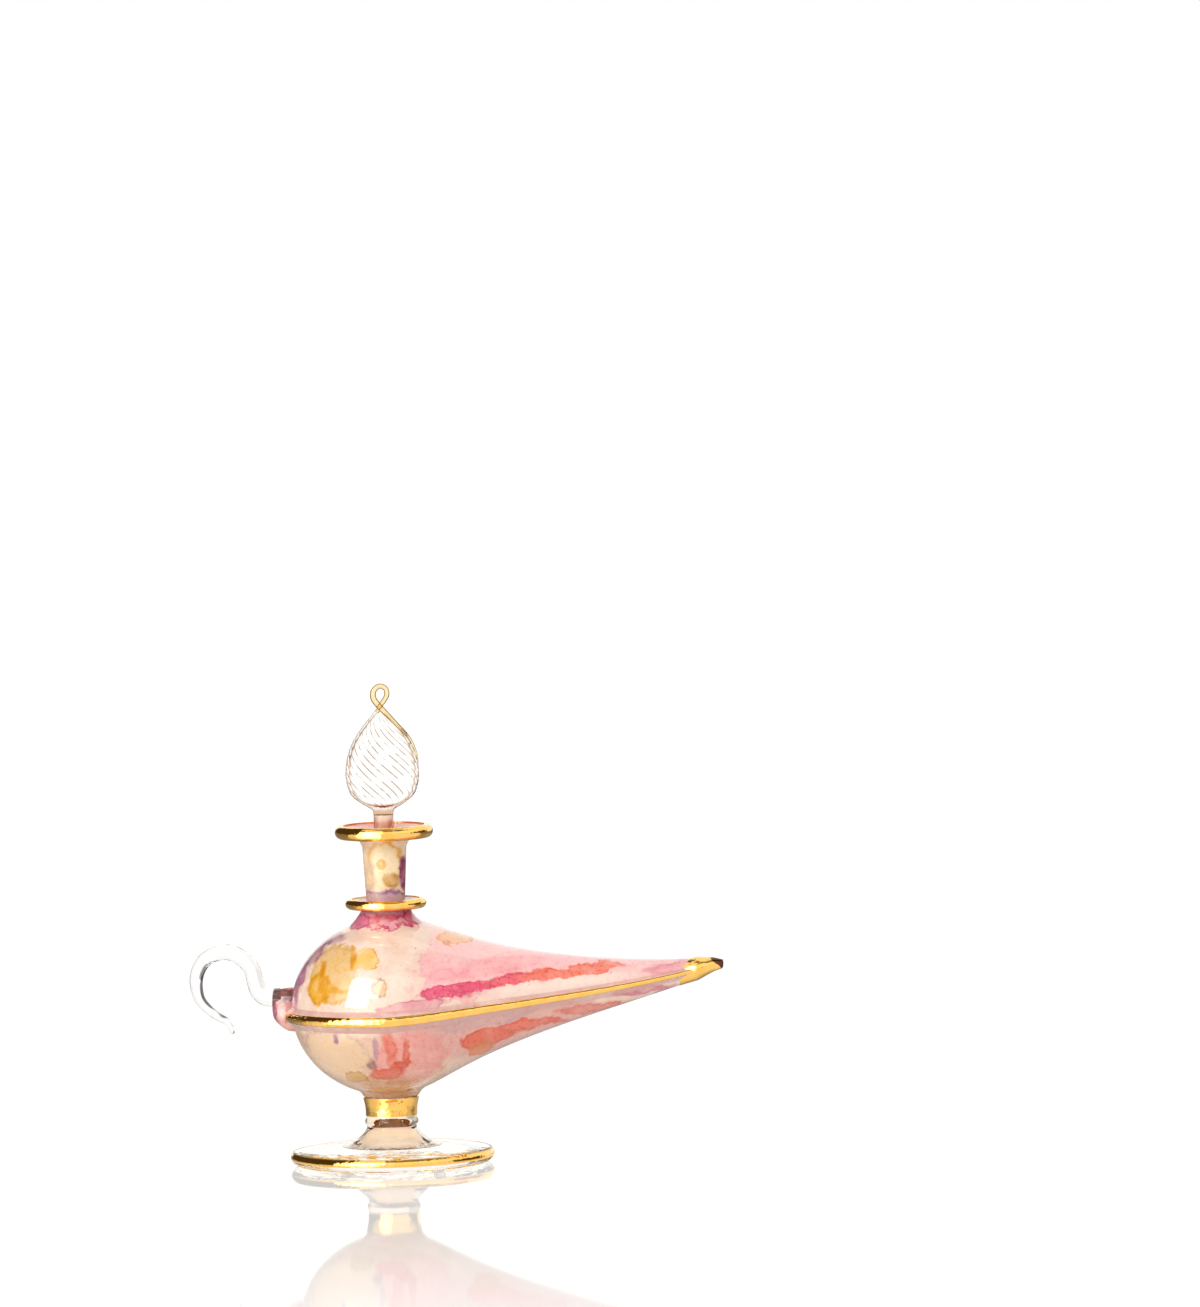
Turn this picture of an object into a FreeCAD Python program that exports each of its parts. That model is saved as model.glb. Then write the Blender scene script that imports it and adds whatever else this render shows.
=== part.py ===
import FreeCAD, Part
import math
import os

Vector = FreeCAD.Vector

# Lamp-shaped glass scent bottle. All sizes in millimetres.
# X runs from the handle to the spout, Z up the neck, the origin is under the foot.

# Foot: a flared disc, a cone and a short stem
foot_radius = 25.0
rim_thickness = 3.4
disc_rise = 1.3
cone_radius = 10.4
cone_height = 3.9
stem_radius = 6.05
stem_length = 7.6
stem_bead = 0.5
stem_flare = 0.6
fillet_spread = 3.2
fillet_height = 3.8
stem_band_height = 4.5
gold_film = 0.25

# Bowl: half an egg behind the neck, drawn out into the spout in front of it
bulb_back = 23.8
bulb_half_height = 21.6
bulb_half_width = 23.0
bulb_sink = 0.4
glass_wall = 1.5
spout_reach = 76.0
spout_tip_half = 2.6
spout_shoulder = 16.6
spout_pinch = 10.7
spout_pinch_half = 12.0
spout_rise = 7.5
tip_length = 5.6
tip_curl = 0.9

# Trails of glass along the two sides
rib_projection = 1.7
rib_half_height = 3.7
rib_drop = 1.5
rib_root = 0.25
rib_taper = 0.36

# Shoulder, collar and neck
shoulder_rise = 2.6
shoulder_spread = 13.0
shoulder_depth = 5.4
shoulder_land = 1.3
neck_foot_radius = 4.6
neck_seat = 0.6
neck_top_radius = 5.4
neck_length = 20.5
collar_radius = 9.9
collar_edge = 1.25
lip_radius = 12.0
lip_edge = 1.65
lip_dish = 1.0

# Stopper
plug_radius = 2.4
plug_taper = 0.25
plug_depth = 13.0
plug_clearance = 0.12
finial_radius = 9.0
finial_height = 26.6
finial_wall = 0.8
finial_stand = 2.4
loop_radius = 1.85
loop_strand = 0.62
dipper_radius = 1.0
dipper_length = 27.0
bead_radius = 1.6

# Handle
hook_radius = 7.4
hook_rod = 2.0
lug_half_height = 5.4
lug_half_width = 3.0
lug_length = 4.6

# Heights that follow from the sizes above
stem_foot_z = rim_thickness + disc_rise + cone_height
bowl_foot_z = stem_foot_z + stem_length
bulb_z = bowl_foot_z + bulb_half_height + bulb_sink
shoulder_z = bulb_z + bulb_half_height + shoulder_rise
lip_top_z = shoulder_z + neck_length
lip_mid_z = lip_top_z - lip_edge
finial_z = lip_top_z + finial_stand
bore_radius = plug_radius - plug_taper + plug_clearance


def bezier(t, a, b, c, d):
    s = 1.0 - t
    return a * s ** 3 + 3.0 * b * t * s * s + 3.0 * c * t * t * s + d * t ** 3


def revolved(points, smooth=()):
    # Closed outline of (radius, height) points turned about the neck axis.
    # A span listed in smooth is (first, last): one spline runs through those points.
    spots = [Vector(r, 0, z) for r, z in points]
    edges = []
    i = 0
    while i < len(spots):
        last = i + 1
        for first, end in smooth:
            if first == i:
                last = end
        run = spots[i:last + 1]
        if last == len(spots):
            run = spots[i:] + [spots[0]]
        if len(run) > 2:
            curve = Part.BSplineCurve()
            curve.interpolate(run)
            edges.append(curve.toShape())
        else:
            edges.append(Part.makeLine(run[0], run[1]))
        i = last
    face = Part.Face(Part.Wire(edges))
    return face.revolve(Vector(0, 0, 0), Vector(0, 0, 1), 360)


def edge_film(ring_radius, mid_z, glass_edge, start, stop):
    # Gold film over a rolled glass edge: a ring whose section is a bent strip.
    inner = []
    outer = []
    for i in range(9):
        a = math.radians(start + (stop - start) * i / 8.0)
        for arc, reach in ((inner, glass_edge), (outer, glass_edge + gold_film)):
            arc.append((ring_radius + reach * math.cos(a), mid_z + reach * math.sin(a)))
    return revolved(inner + outer[::-1], ((0, 8), (9, 17)))


def oval(centre, across, up, half_across, half_up):
    spots = []
    for i in range(16):
        a = 2.0 * math.pi * i / 16
        spots.append(centre + across * (half_across * math.cos(a)) + up * (half_up * math.sin(a)))
    curve = Part.BSplineCurve()
    curve.interpolate(spots, PeriodicFlag=True)
    return Part.Wire(curve.toShape())


def tube(spots, widths, heights):
    # Rod along a smooth path: oval sections set square to the path.
    path = Part.BSplineCurve()
    path.interpolate(spots)
    sections = []
    count = 3 * (len(spots) - 1)
    for i in range(count + 1):
        place = i / 3.0
        low = min(int(place), len(spots) - 2)
        share = place - low
        wide = widths[low] * (1.0 - share) + widths[low + 1] * share
        tall = heights[low] * (1.0 - share) + heights[low + 1] * share
        u = path.FirstParameter + (path.LastParameter - path.FirstParameter) * i / count
        tangent = path.tangent(u)[0]
        across = Vector(0, 1, 0) - tangent * tangent.y
        across.normalize()
        sections.append(oval(path.value(u), across, tangent.cross(across), wide, tall))
    return Part.makeLoft(sections, True)


# Bowl and spout as a run of oval sections from the back of the bulb to the tip
def bowl_station(place):
    # Position from -1 (back) through 0 (neck) to 1 (end of the spout).
    if place <= 0.0:
        a = math.radians(90.0 * (1.0 + place))
        size = math.sin(a)
        return -bulb_back * math.cos(a), bulb_half_height * size, bulb_z
    x = bezier(place, 0.0, spout_shoulder, spout_pinch, spout_reach)
    half = bezier(place, bulb_half_height, bulb_half_height, spout_pinch_half, spout_tip_half)
    share = x / spout_reach
    z = bulb_z + spout_rise * (0.86 * share + 0.14 * share ** 6 - 0.05 * math.sin(math.pi * share))
    return x, half, z


def half_width(half):
    return half * bulb_half_width / bulb_half_height


def bowl_form(wall, places):
    sections = []
    for place in places:
        x, half, z = bowl_station(place)
        if place < 0.0:
            x = x * (bulb_back - wall) / bulb_back
            half = half * (bulb_half_height - wall) / bulb_half_height
            wide = half_width(half)
        else:
            half = half - wall
            wide = half_width(half + wall) - wall
        sections.append(oval(Vector(x, 0, z), Vector(0, 1, 0), Vector(0, 0, 1), wide, half))
    return sections


back_places = [-0.93, -0.82, -0.7, -0.56, -0.42, -0.28, -0.14]
spout_places = [0.0, 0.06, 0.12, 0.24, 0.36, 0.48, 0.58, 0.67, 0.75, 0.82, 0.88, 0.93, 0.97, 1.0]
tip_x, tip_half, tip_z = bowl_station(1.0)
tip_sections = []
for share in (0.35, 0.7, 1.0):
    centre = Vector(tip_x + tip_length * share, 0, tip_z + tip_curl * share ** 1.4)
    left = tip_half * (1.0 - 0.75 * share)
    tip_sections.append((centre, left))

outer_sections = bowl_form(0.0, back_places + spout_places)
for centre, left in tip_sections:
    outer_sections.append(oval(centre, Vector(0, 1, 0), Vector(0, 0, 1), left, left))
bulb_outer = Part.makeLoft(outer_sections, True)
hollow = Part.makeLoft(bowl_form(glass_wall, back_places + spout_places[:-1]), True)

# Shoulder that sweeps up to the neck, and the fillet down to the stem
shoulder_top_radius = neck_foot_radius + shoulder_land
bulb_top_z = bulb_z + bulb_half_height
shoulder = revolved(
    [(0, bulb_top_z - shoulder_depth), (shoulder_spread, bulb_top_z - shoulder_depth),
     (shoulder_top_radius + 0.62 * (shoulder_spread - shoulder_top_radius), bulb_top_z - 0.5 * shoulder_depth),
     (shoulder_top_radius + 0.2 * (shoulder_spread - shoulder_top_radius), bulb_top_z + 0.15 * shoulder_rise),
     (shoulder_top_radius, shoulder_z), (0, shoulder_z)],
    ((1, 4),))
stem_top_radius = stem_radius + stem_flare
stem_fillet = revolved(
    [(0, bowl_foot_z), (stem_top_radius, bowl_foot_z),
     (stem_top_radius + 0.2 * fillet_spread, bowl_foot_z + 0.3 * fillet_height),
     (stem_top_radius + 0.62 * fillet_spread, bowl_foot_z + 0.66 * fillet_height),
     (stem_top_radius + fillet_spread, bowl_foot_z + fillet_height), (0, bowl_foot_z + fillet_height)],
    ((1, 4),))
bowl_outer = bulb_outer.fuse([shoulder, stem_fillet])
bowl_mouth = neck_foot_radius - neck_seat
mouth_down = Part.makeCylinder(bowl_mouth, shoulder_z - bulb_z + 1.0, Vector(0, 0, bulb_z))
bowl = bowl_outer.cut(hollow.fuse(mouth_down))

# Foot
rim_radius = foot_radius - gold_film
stem_waist_z = bowl_foot_z - stem_band_height
stem_points = [(stem_radius, stem_waist_z), (stem_radius + 0.12, stem_waist_z + 0.5 * stem_band_height),
               (stem_top_radius, bowl_foot_z)]
foot = revolved(
    [(0, 0), (rim_radius - 0.4 * rim_thickness, 0),
     (rim_radius - 0.1 * rim_thickness, 0.2 * rim_thickness),
     (rim_radius, 0.5 * rim_thickness),
     (rim_radius - 0.1 * rim_thickness, 0.8 * rim_thickness),
     (rim_radius - 0.4 * rim_thickness, rim_thickness),
     (1.35 * cone_radius, rim_thickness + 0.55 * disc_rise),
     (cone_radius, rim_thickness + disc_rise),
     (0.48 * (cone_radius + stem_radius), rim_thickness + disc_rise + 0.5 * cone_height),
     (stem_radius + 0.05, stem_foot_z),
     (stem_radius + stem_bead, 0.5 * (stem_foot_z + stem_waist_z))] + stem_points + [(0, bowl_foot_z)],
    ((1, 5), (6, 9), (9, 11), (11, 13)))
stem_film = [(r + gold_film, z) for r, z in stem_points]
stem_gilding = revolved([(0, stem_waist_z)] + stem_film + [(0, bowl_foot_z)], ((1, 3),)).cut(foot)
rim_band = revolved(
    [(rim_radius - 0.6 * rim_thickness, 0.3 * rim_thickness),
     (foot_radius - 0.04 * rim_thickness, 0.3 * rim_thickness),
     (foot_radius, 0.5 * rim_thickness),
     (foot_radius - 0.1 * rim_thickness, 0.82 * rim_thickness),
     (foot_radius - 0.42 * rim_thickness, rim_thickness + gold_film),
     (rim_radius - 0.6 * rim_thickness, rim_thickness + gold_film)],
    ((1, 4),))
foot_gilding = rim_band.cut(foot)

# Neck with the flared lip, its ground bore open to the bowl
mouth_radius = plug_radius + plug_clearance
plug_foot_z = lip_top_z - lip_dish - plug_depth
lip_glass = lip_edge - gold_film
lip_ring = lip_radius - lip_edge
neck_tube = revolved(
    [(bore_radius, shoulder_z), (neck_foot_radius, shoulder_z),
     (neck_top_radius, lip_mid_z - lip_edge - 2.0),
     (neck_top_radius + 1.0, lip_mid_z - lip_edge - 0.4),
     (0.55 * (neck_top_radius + lip_ring), lip_mid_z - lip_glass),
     (lip_ring, lip_mid_z - lip_glass),
     (lip_ring + 0.707 * lip_glass, lip_mid_z - 0.707 * lip_glass),
     (lip_ring + lip_glass, lip_mid_z),
     (lip_ring + 0.707 * lip_glass, lip_mid_z + 0.707 * lip_glass),
     (lip_ring, lip_mid_z + lip_glass),
     (0.5 * (mouth_radius + lip_ring), lip_top_z - 0.75 * lip_dish),
     (mouth_radius, lip_top_z - lip_dish - gold_film),
     (bore_radius, plug_foot_z)],
    ((2, 4), (5, 9), (9, 11)))
lip_gilding = edge_film(lip_ring, lip_mid_z, lip_glass, -60, 100).cut(neck_tube)

# Collar round the foot of the neck
collar_glass = collar_edge - gold_film
collar_ring_radius = collar_radius - collar_edge
collar_z = shoulder_z + collar_edge
collar_disc = revolved(
    [(0, collar_z - collar_glass), (collar_ring_radius, collar_z - collar_glass),
     (collar_ring_radius + 0.707 * collar_glass, collar_z - 0.707 * collar_glass),
     (collar_ring_radius + collar_glass, collar_z),
     (collar_ring_radius + 0.707 * collar_glass, collar_z + 0.707 * collar_glass),
     (collar_ring_radius, collar_z + collar_glass), (0, collar_z + collar_glass)],
    ((1, 5),))
collar_seat = revolved(
    [(0, shoulder_z), (shoulder_top_radius, shoulder_z), (shoulder_top_radius, collar_z), (0, collar_z)])
neck_core = revolved(
    [(0, shoulder_z), (neck_foot_radius, shoulder_z),
     (neck_top_radius, lip_mid_z - lip_edge - 2.0), (0, lip_mid_z - lip_edge - 2.0)])
collar_ring = collar_disc.fuse(collar_seat).removeSplitter().cut(neck_core)
collar_gilding = edge_film(collar_ring_radius, collar_z, collar_glass, -95, 100).cut(collar_ring)


# Trails along the sides: a bell-shaped section carried round the bowl at its waist
def rib_station(place, side):
    x, half, z = bowl_station(place)
    ahead = bowl_station(min(1.0, place + 0.002))
    behind = bowl_station(max(-1.0, place - 0.002))
    wide = half_width(half)
    run = Vector(ahead[0] - behind[0], half_width(ahead[1] - behind[1]), 0)
    if place <= -1.0:
        run = Vector(0, 1, 0)
    run.normalize()
    outward = Vector(-run.y, side * run.x, 0)
    share = max(0.0, x / spout_reach)
    scale = 1.0 - (1.0 - rib_taper) * share
    drop = rib_drop * (1.0 - share * share)
    return Vector(x, side * wide, z - drop), outward, scale


def rib_wire(place, side, film):
    spot, outward, scale = rib_station(place, side)
    tall = rib_half_height * scale
    x, half, z = bowl_station(place)
    span = half if place > 0.0 else bulb_half_height
    lean = (tall + z - spot.z) / span
    root = rib_root + half_width(span) * (1.0 - math.sqrt(1.0 - lean * lean))
    rise = rib_projection * scale + root
    shares = [-1.0, -0.8, -0.6, -0.4, -0.2, 0.0, 0.2, 0.4, 0.6, 0.8, 1.0]
    if film > 0.0:
        shares = [0.33 * s for s in shares]
    spots = []
    for s in shares:
        reach = rise * (1.0 - s * s) ** 2 - root + film
        spots.append(spot + outward * reach + Vector(0, 0, tall * s))
    curve = Part.BSplineCurve()
    curve.interpolate(spots)
    edges = [curve.toShape()]
    if film > 0.0:
        top = spot + outward * (0.2 * rise) + Vector(0, 0, tall * shares[-1])
        foot_spot = spot + outward * (0.2 * rise) + Vector(0, 0, tall * shares[0])
        edges.append(Part.makeLine(spots[-1], top))
        edges.append(Part.makeLine(top, foot_spot))
        edges.append(Part.makeLine(foot_spot, spots[0]))
    else:
        edges.append(Part.makeLine(spots[-1], spots[0]))
    return Part.Wire(edges)


rib_places = [-1.0, -0.9, -0.8, -0.65, -0.5, -0.35, -0.2] + spout_places
film_places = rib_places[1:]
ribs = {}
for name, side in (("right", -1.0), ("left", 1.0)):
    sweep = Part.makeLoft([rib_wire(place, side, 0.0) for place in rib_places], True)
    ribs[name] = sweep.cut(bowl_outer)

# Pinched lug at the back and the hooked handle that grows out of it
lug_end_x = -bulb_back - lug_length
lug_sections = []
for share, grow in ((-0.7, 1.0), (0.0, 1.0), (0.35, 0.92), (0.7, 0.84), (0.93, 0.78), (1.0, 0.7)):
    lug_sections.append(oval(Vector(-bulb_back - lug_length * share, 0, bulb_z),
                             Vector(0, 1, 0), Vector(0, 0, 1), lug_half_width * grow, lug_half_height * grow))
handle_lug = Part.makeLoft(lug_sections, True).cut(bowl_outer.fuse([ribs["right"], ribs["left"]]))

hook_x = lug_end_x - 1.52 * hook_radius
hook_z = bulb_z + 0.89 * hook_radius
hook_spots = [(1.8, -0.48), (1.52, -0.48), (1.28, -0.44), (1.08, -0.26), (0.97, 0.06), (0.85, 0.52), (0.42, 0.94),
              (-0.05, 1.06), (-0.56, 0.9), (-0.86, 0.55), (-1.0, 0.08), (-0.9, -0.44), (-0.62, -0.8),
              (-0.3, -1.06), (-0.02, -1.22), (0.13, -1.42), (0.18, -1.58)]
hook_wide = [0.9, 0.98, 1.04, 1.04, 1.02, 1.0, 0.98, 0.95, 0.9, 0.86, 0.8, 0.68, 0.58, 0.5, 0.44, 0.37, 0.28]
hook_tall = [1.3, 1.34, 1.24, 1.1, 1.03] + hook_wide[5:]
hook_path = [Vector(hook_x + hook_radius * a, 0, hook_z + hook_radius * b) for a, b in hook_spots]
handle_hook = tube(hook_path, [hook_rod * k for k in hook_wide], [hook_rod * k for k in hook_tall]).cut(handle_lug)

# Gold over the tip of the spout, then along the crests of the trails
cap_sections = []
for place in (0.993, 1.0):
    x, half, z = bowl_station(place)
    wide = half_width(half) + rib_projection * rib_taper + 1.5 * gold_film
    cap_sections.append(oval(Vector(x, 0, z), Vector(0, 1, 0), Vector(0, 0, 1), wide, half + gold_film))
for centre, left in tip_sections:
    cap_sections.append(oval(centre, Vector(0, 1, 0), Vector(0, 0, 1), left + gold_film, left + gold_film))
centre, left = tip_sections[-1]
cap_sections.append(oval(centre + Vector(2.0 * gold_film, 0, gold_film), Vector(0, 1, 0), Vector(0, 0, 1),
                         0.7 * left, 0.7 * left))
glass_under = bowl_outer.fuse([ribs["right"], ribs["left"]])
tip_gilding = Part.makeLoft(cap_sections, True).cut(glass_under)
films = {}
for name, side in (("right", -1.0), ("left", 1.0)):
    sweep = Part.makeLoft([rib_wire(place, side, gold_film) for place in film_places], True)
    films[name] = sweep.cut(ribs[name]).cut(handle_lug).cut(tip_gilding)

# Stopper: plug, hollow flame, drawn loop and the dipper
stopper_plug = revolved(
    [(0, plug_foot_z), (plug_radius - plug_taper, plug_foot_z),
     (plug_radius, lip_top_z - lip_dish), (plug_radius, finial_z), (0, finial_z)])
flame = [(0.27, 0.0), (0.31, 0.05), (0.57, 0.105), (0.84, 0.18), (0.955, 0.27), (1.0, 0.39), (0.94, 0.54),
         (0.78, 0.68), (0.52, 0.81), (0.27, 0.91), (0.13, 0.97), (0.0, 1.0)]


def flame_outline(wall):
    spots = []
    for r, z in flame:
        spots.append((finial_radius * r, finial_z + finial_height * z))
    if wall > 0.0:
        spots = [(max(0.0, r - wall), z) for r, z in spots[2:-2]]
        spots = [(0, spots[0][1] + wall)] + spots[1:] + [(0, spots[-1][1] + 2.0 * wall)]
        return spots
    return [(0, finial_z), (plug_radius, finial_z)] + spots[1:]


outer_outline = flame_outline(0.0)
inner_outline = flame_outline(finial_wall)
flame_outer = revolved(outer_outline, ((1, len(outer_outline) - 1),))
flame_hollow = revolved(inner_outline, ((0, len(inner_outline) - 1),))
stopper_finial = flame_outer.cut(flame_hollow)

loop_z = finial_z + finial_height + 1.7 * loop_radius
loop_spots = [(2.3, -0.3, -4.4), (1.35, -0.55, -3.35), (0.45, -0.62, -2.35), (-0.35, -0.5, -1.45),
              (-0.95, -0.22, -0.6), (-0.86, -0.05, 0.4), (-0.1, 0.02, 0.98), (0.72, 0.06, 0.62),
              (0.86, 0.2, -0.25), (0.4, 0.42, -1.1), (-0.1, 0.5, -1.75), (-0.45, 0.35, -2.6)]
loop_path = [Vector(loop_radius * a, loop_radius * b, loop_z + loop_radius * c) for a, b, c in loop_spots]
loop_thick = [loop_strand * k for k in (0.5, 0.9, 1.0, 1.0, 1.0, 1.0, 1.0, 1.0, 1.0, 0.95, 0.9, 0.6)]
finial_loop = tube(loop_path, loop_thick, loop_thick).cut(flame_outer)

bead_z = plug_foot_z - dipper_length + bead_radius
rod = Part.makeCylinder(dipper_radius, plug_foot_z - bead_z, Vector(0, 0, bead_z))
dipper_rod = rod.fuse(Part.makeSphere(bead_radius, Vector(0, 0, bead_z)))

# One file for each piece
pieces = {
    "foot": foot,
    "foot_gilding": foot_gilding,
    "stem_gilding": stem_gilding,
    "bowl": bowl,
    "rib_right": ribs["right"],
    "rib_left": ribs["left"],
    "rib_gilding_right": films["right"],
    "rib_gilding_left": films["left"],
    "tip_gilding": tip_gilding,
    "neck_tube": neck_tube,
    "lip_gilding": lip_gilding,
    "collar_ring": collar_ring,
    "collar_gilding": collar_gilding,
    "handle_lug": handle_lug,
    "handle_hook": handle_hook,
    "stopper_finial": stopper_finial,
    "finial_loop": finial_loop,
    "stopper_plug": stopper_plug,
    "dipper_rod": dipper_rod,
}
os.makedirs("parts", exist_ok=True)
for name, shape in pieces.items():
    box = shape.BoundBox
    print(name, len(shape.Solids), "solids", shape.isValid(), round(shape.Volume, 2), "mm3",
          [round(v, 2) for v in (box.XMin, box.XMax, box.YMin, box.YMax, box.ZMin, box.ZMax)])
    shape.exportStep("parts/" + name + ".step")
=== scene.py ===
import bpy
import math
from mathutils import Matrix, Vector


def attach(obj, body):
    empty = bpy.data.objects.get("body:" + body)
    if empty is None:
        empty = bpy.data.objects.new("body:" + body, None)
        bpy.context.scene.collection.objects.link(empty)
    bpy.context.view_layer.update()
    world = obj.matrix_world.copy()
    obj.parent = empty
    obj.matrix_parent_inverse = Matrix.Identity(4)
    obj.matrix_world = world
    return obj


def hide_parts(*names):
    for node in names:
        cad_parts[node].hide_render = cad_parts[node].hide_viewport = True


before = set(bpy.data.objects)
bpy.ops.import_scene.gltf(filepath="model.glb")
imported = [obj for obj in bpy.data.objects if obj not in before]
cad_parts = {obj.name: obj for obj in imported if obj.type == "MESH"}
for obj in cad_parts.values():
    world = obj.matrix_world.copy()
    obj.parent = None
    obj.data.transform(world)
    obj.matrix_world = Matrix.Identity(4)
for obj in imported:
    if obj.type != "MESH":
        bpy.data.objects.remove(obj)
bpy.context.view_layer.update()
mm = 0.001  # lengths below are written in millimetres
weldGap = 0.004  # points nearer than this become one
sharpAngle = 55  # edges sharper than this stay crisp
print("frame loaded:", len(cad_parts), "nodes")


# picking and finishing pieces
def doneEditing():
    bpy.ops.object.mode_set(mode="OBJECT")


def cleanStart():
    if bpy.context.object and bpy.context.object.mode != "OBJECT":
        doneEditing()
    bpy.ops.object.select_all(action="DESELECT")


def pickOnly(*pieces):
    cleanStart()
    for piece in pieces:
        piece.select_set(True)
    bpy.context.view_layer.objects.active = pieces[0]


def editAll():
    bpy.ops.object.mode_set(mode="EDIT")
    bpy.ops.mesh.select_all(action="SELECT")


def useModifier(piece, kind, **settings):
    pickOnly(piece)
    modifier = piece.modifiers.new(kind.title(), kind)
    for key, value in settings.items():
        setattr(modifier, key, value)
    bpy.ops.object.modifier_apply(modifier=modifier.name)


def facesOut(piece):
    pickOnly(piece)
    editAll()
    bpy.ops.mesh.remove_doubles(threshold=weldGap * mm)
    bpy.ops.mesh.normals_make_consistent(inside=False)
    doneEditing()


def finishPiece(piece, material, body, node):
    pickOnly(piece)
    bpy.ops.object.shade_smooth_by_angle(angle=math.radians(sharpAngle))
    piece.data.materials.clear()
    piece.data.materials.append(material)
    piece.data.name = piece.name
    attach(piece, body)
    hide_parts(node)


def smoothRun(points, steps):
    # flowing line through given points
    run = []
    for i in range(len(points) - 1):
        before = points[max(i - 1, 0)]
        after = points[min(i + 2, len(points) - 1)]
        for k in range(steps):
            t = k / steps
            run.append(tuple(
                0.5 * (2 * b + (c - a) * t + (2 * a - 5 * b + 4 * c - d) * t * t + (3 * b - a - 3 * c + d) * t ** 3)
                for a, b, c, d in zip(before, points[i], points[i + 1], after)))
    run.append(tuple(points[-1]))
    return run


def closePole(lift):
    # last ring drawn together to one point on the axis
    bpy.ops.mesh.extrude_region_move(TRANSFORM_OT_translate={"value": lift})
    bpy.ops.mesh.merge(type="CENTER")


def turnPiece(name, outline, sides=96, ring=False):
    # outline of (radius, height) points, grown ring by ring round the neck axis
    cleanStart()
    foot, top = outline[0], outline[-1]
    walk = [spot for spot in outline if spot[0] > 0]
    radius, height = walk[0]
    bpy.ops.mesh.primitive_circle_add(vertices=sides, radius=radius * mm, location=(0, 0, height * mm))
    piece = bpy.context.object
    piece.name = name
    bpy.ops.object.transform_apply(location=True, rotation=True, scale=True)
    editAll()
    for nextRadius, nextHeight in walk[1:]:
        bpy.ops.mesh.extrude_region_move(TRANSFORM_OT_translate={"value": (0, 0, (nextHeight - height) * mm)})
        grow = nextRadius / radius
        bpy.ops.transform.resize(value=(grow, grow, 1), center_override=(0, 0, nextHeight * mm))
        radius, height = nextRadius, nextHeight
    if top[0] <= 0:
        closePole((0, 0, (top[1] - height) * mm))
    if ring or foot[0] <= 0:
        bpy.ops.mesh.select_all(action="DESELECT")
        bpy.ops.mesh.select_non_manifold()
    if ring:
        bpy.ops.mesh.bridge_edge_loops()
    elif foot[0] <= 0:
        closePole((0, 0, (foot[1] - walk[0][1]) * mm))
    doneEditing()
    facesOut(piece)
    return piece


def drawOut(name, sections, sides=64):
    # ovals of (x, height, half width, half height) drawn along the spout, both ends closed to a point
    cleanStart()
    first, last = sections[0], sections[-1]
    x, z, wide, tall = sections[1]
    bpy.ops.mesh.primitive_circle_add(vertices=sides, radius=mm, rotation=(0, math.pi / 2, 0))
    piece = bpy.context.object
    piece.name = name
    piece.scale = (tall, wide, 1)
    piece.location = (x * mm, 0, z * mm)
    bpy.ops.object.transform_apply(location=True, rotation=True, scale=True)
    editAll()
    for nextX, nextZ, nextWide, nextTall in sections[2:-1]:
        shift = ((nextX - x) * mm, 0, (nextZ - z) * mm)
        bpy.ops.mesh.extrude_region_move(TRANSFORM_OT_translate={"value": shift})
        bpy.ops.transform.resize(value=(1, nextWide / wide, nextTall / tall),
                                 center_override=(nextX * mm, 0, nextZ * mm))
        x, z, wide, tall = nextX, nextZ, nextWide, nextTall
    closePole(((last[0] - x) * mm, 0, (last[1] - z) * mm))
    bpy.ops.mesh.select_all(action="DESELECT")
    bpy.ops.mesh.select_non_manifold()
    closePole(((first[0] - sections[1][0]) * mm, 0, (first[1] - sections[1][1]) * mm))
    doneEditing()
    facesOut(piece)
    return piece


def sweepLine(name, spots, section=None, thickness=None):
    # rod or trail along given points (x, y, z, girth); a section is (out, up) points
    cleanStart()
    profile = None
    if section:
        bpy.ops.curve.primitive_nurbs_path_add()
        profile = bpy.context.object
        profile.data.dimensions = "2D"
        profile.data.splines.clear()
        outline = profile.data.splines.new("POLY")
        outline.points.add(len(section) - 1)
        outline.use_cyclic_u = True
        for point, (out, up) in zip(outline.points, section):
            point.co = (out * mm, up * mm, 0, 1)
        cleanStart()
    bpy.ops.curve.primitive_nurbs_path_add()
    piece = bpy.context.object
    piece.name = name
    curve = piece.data
    curve.dimensions = "3D"
    curve.splines.clear()
    line = curve.splines.new("POLY")
    line.points.add(len(spots) - 1)
    for point, (x, y, z, girth) in zip(line.points, spots):
        point.co = (x * mm, y * mm, z * mm, 1)
        point.radius = girth
    curve.use_fill_caps = True
    if section:
        curve.twist_mode = "Z_UP"
        curve.bevel_mode = "OBJECT"
        curve.bevel_object = profile
    else:
        curve.twist_mode = "MINIMUM"
        curve.bevel_depth = thickness * mm
        curve.bevel_resolution = 10
    pickOnly(piece)
    bpy.ops.object.convert(target="MESH")
    if profile:
        bpy.data.objects.remove(profile)
    facesOut(piece)
    return piece


# node helpers
def feed(tree, node, inputs):
    # a socket is linked, anything else is set as a plain value
    for socket, value in inputs.items():
        if isinstance(value, bpy.types.NodeSocket):
            tree.links.new(value, node.inputs[socket])
        else:
            node.inputs[socket].default_value = value
    return node


def addNode(tree, kind, inputs=None, **settings):
    node = tree.nodes.new("ShaderNode" + kind)
    for key, value in settings.items():
        setattr(node, key, value)
    return feed(tree, node, inputs or {})


def startGroup(name, takes, gives):
    group = bpy.data.node_groups.new(name, "ShaderNodeTree")
    for label, kind in takes.items():
        group.interface.new_socket(label, in_out="INPUT", socket_type="NodeSocket" + kind)
    for label, kind in gives.items():
        group.interface.new_socket(label, in_out="OUTPUT", socket_type="NodeSocket" + kind)
    return group, group.nodes.new("NodeGroupInput").outputs, group.nodes.new("NodeGroupOutput").inputs


def placeGroup(tree, group, **inputs):
    return feed(tree, addNode(tree, "Group", node_tree=group), inputs)


def blendColour(tree, factor, below, above):
    node = addNode(tree, "Mix", {0: factor, 6: below, 7: above}, data_type="RGBA")
    return node.outputs[2]


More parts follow.
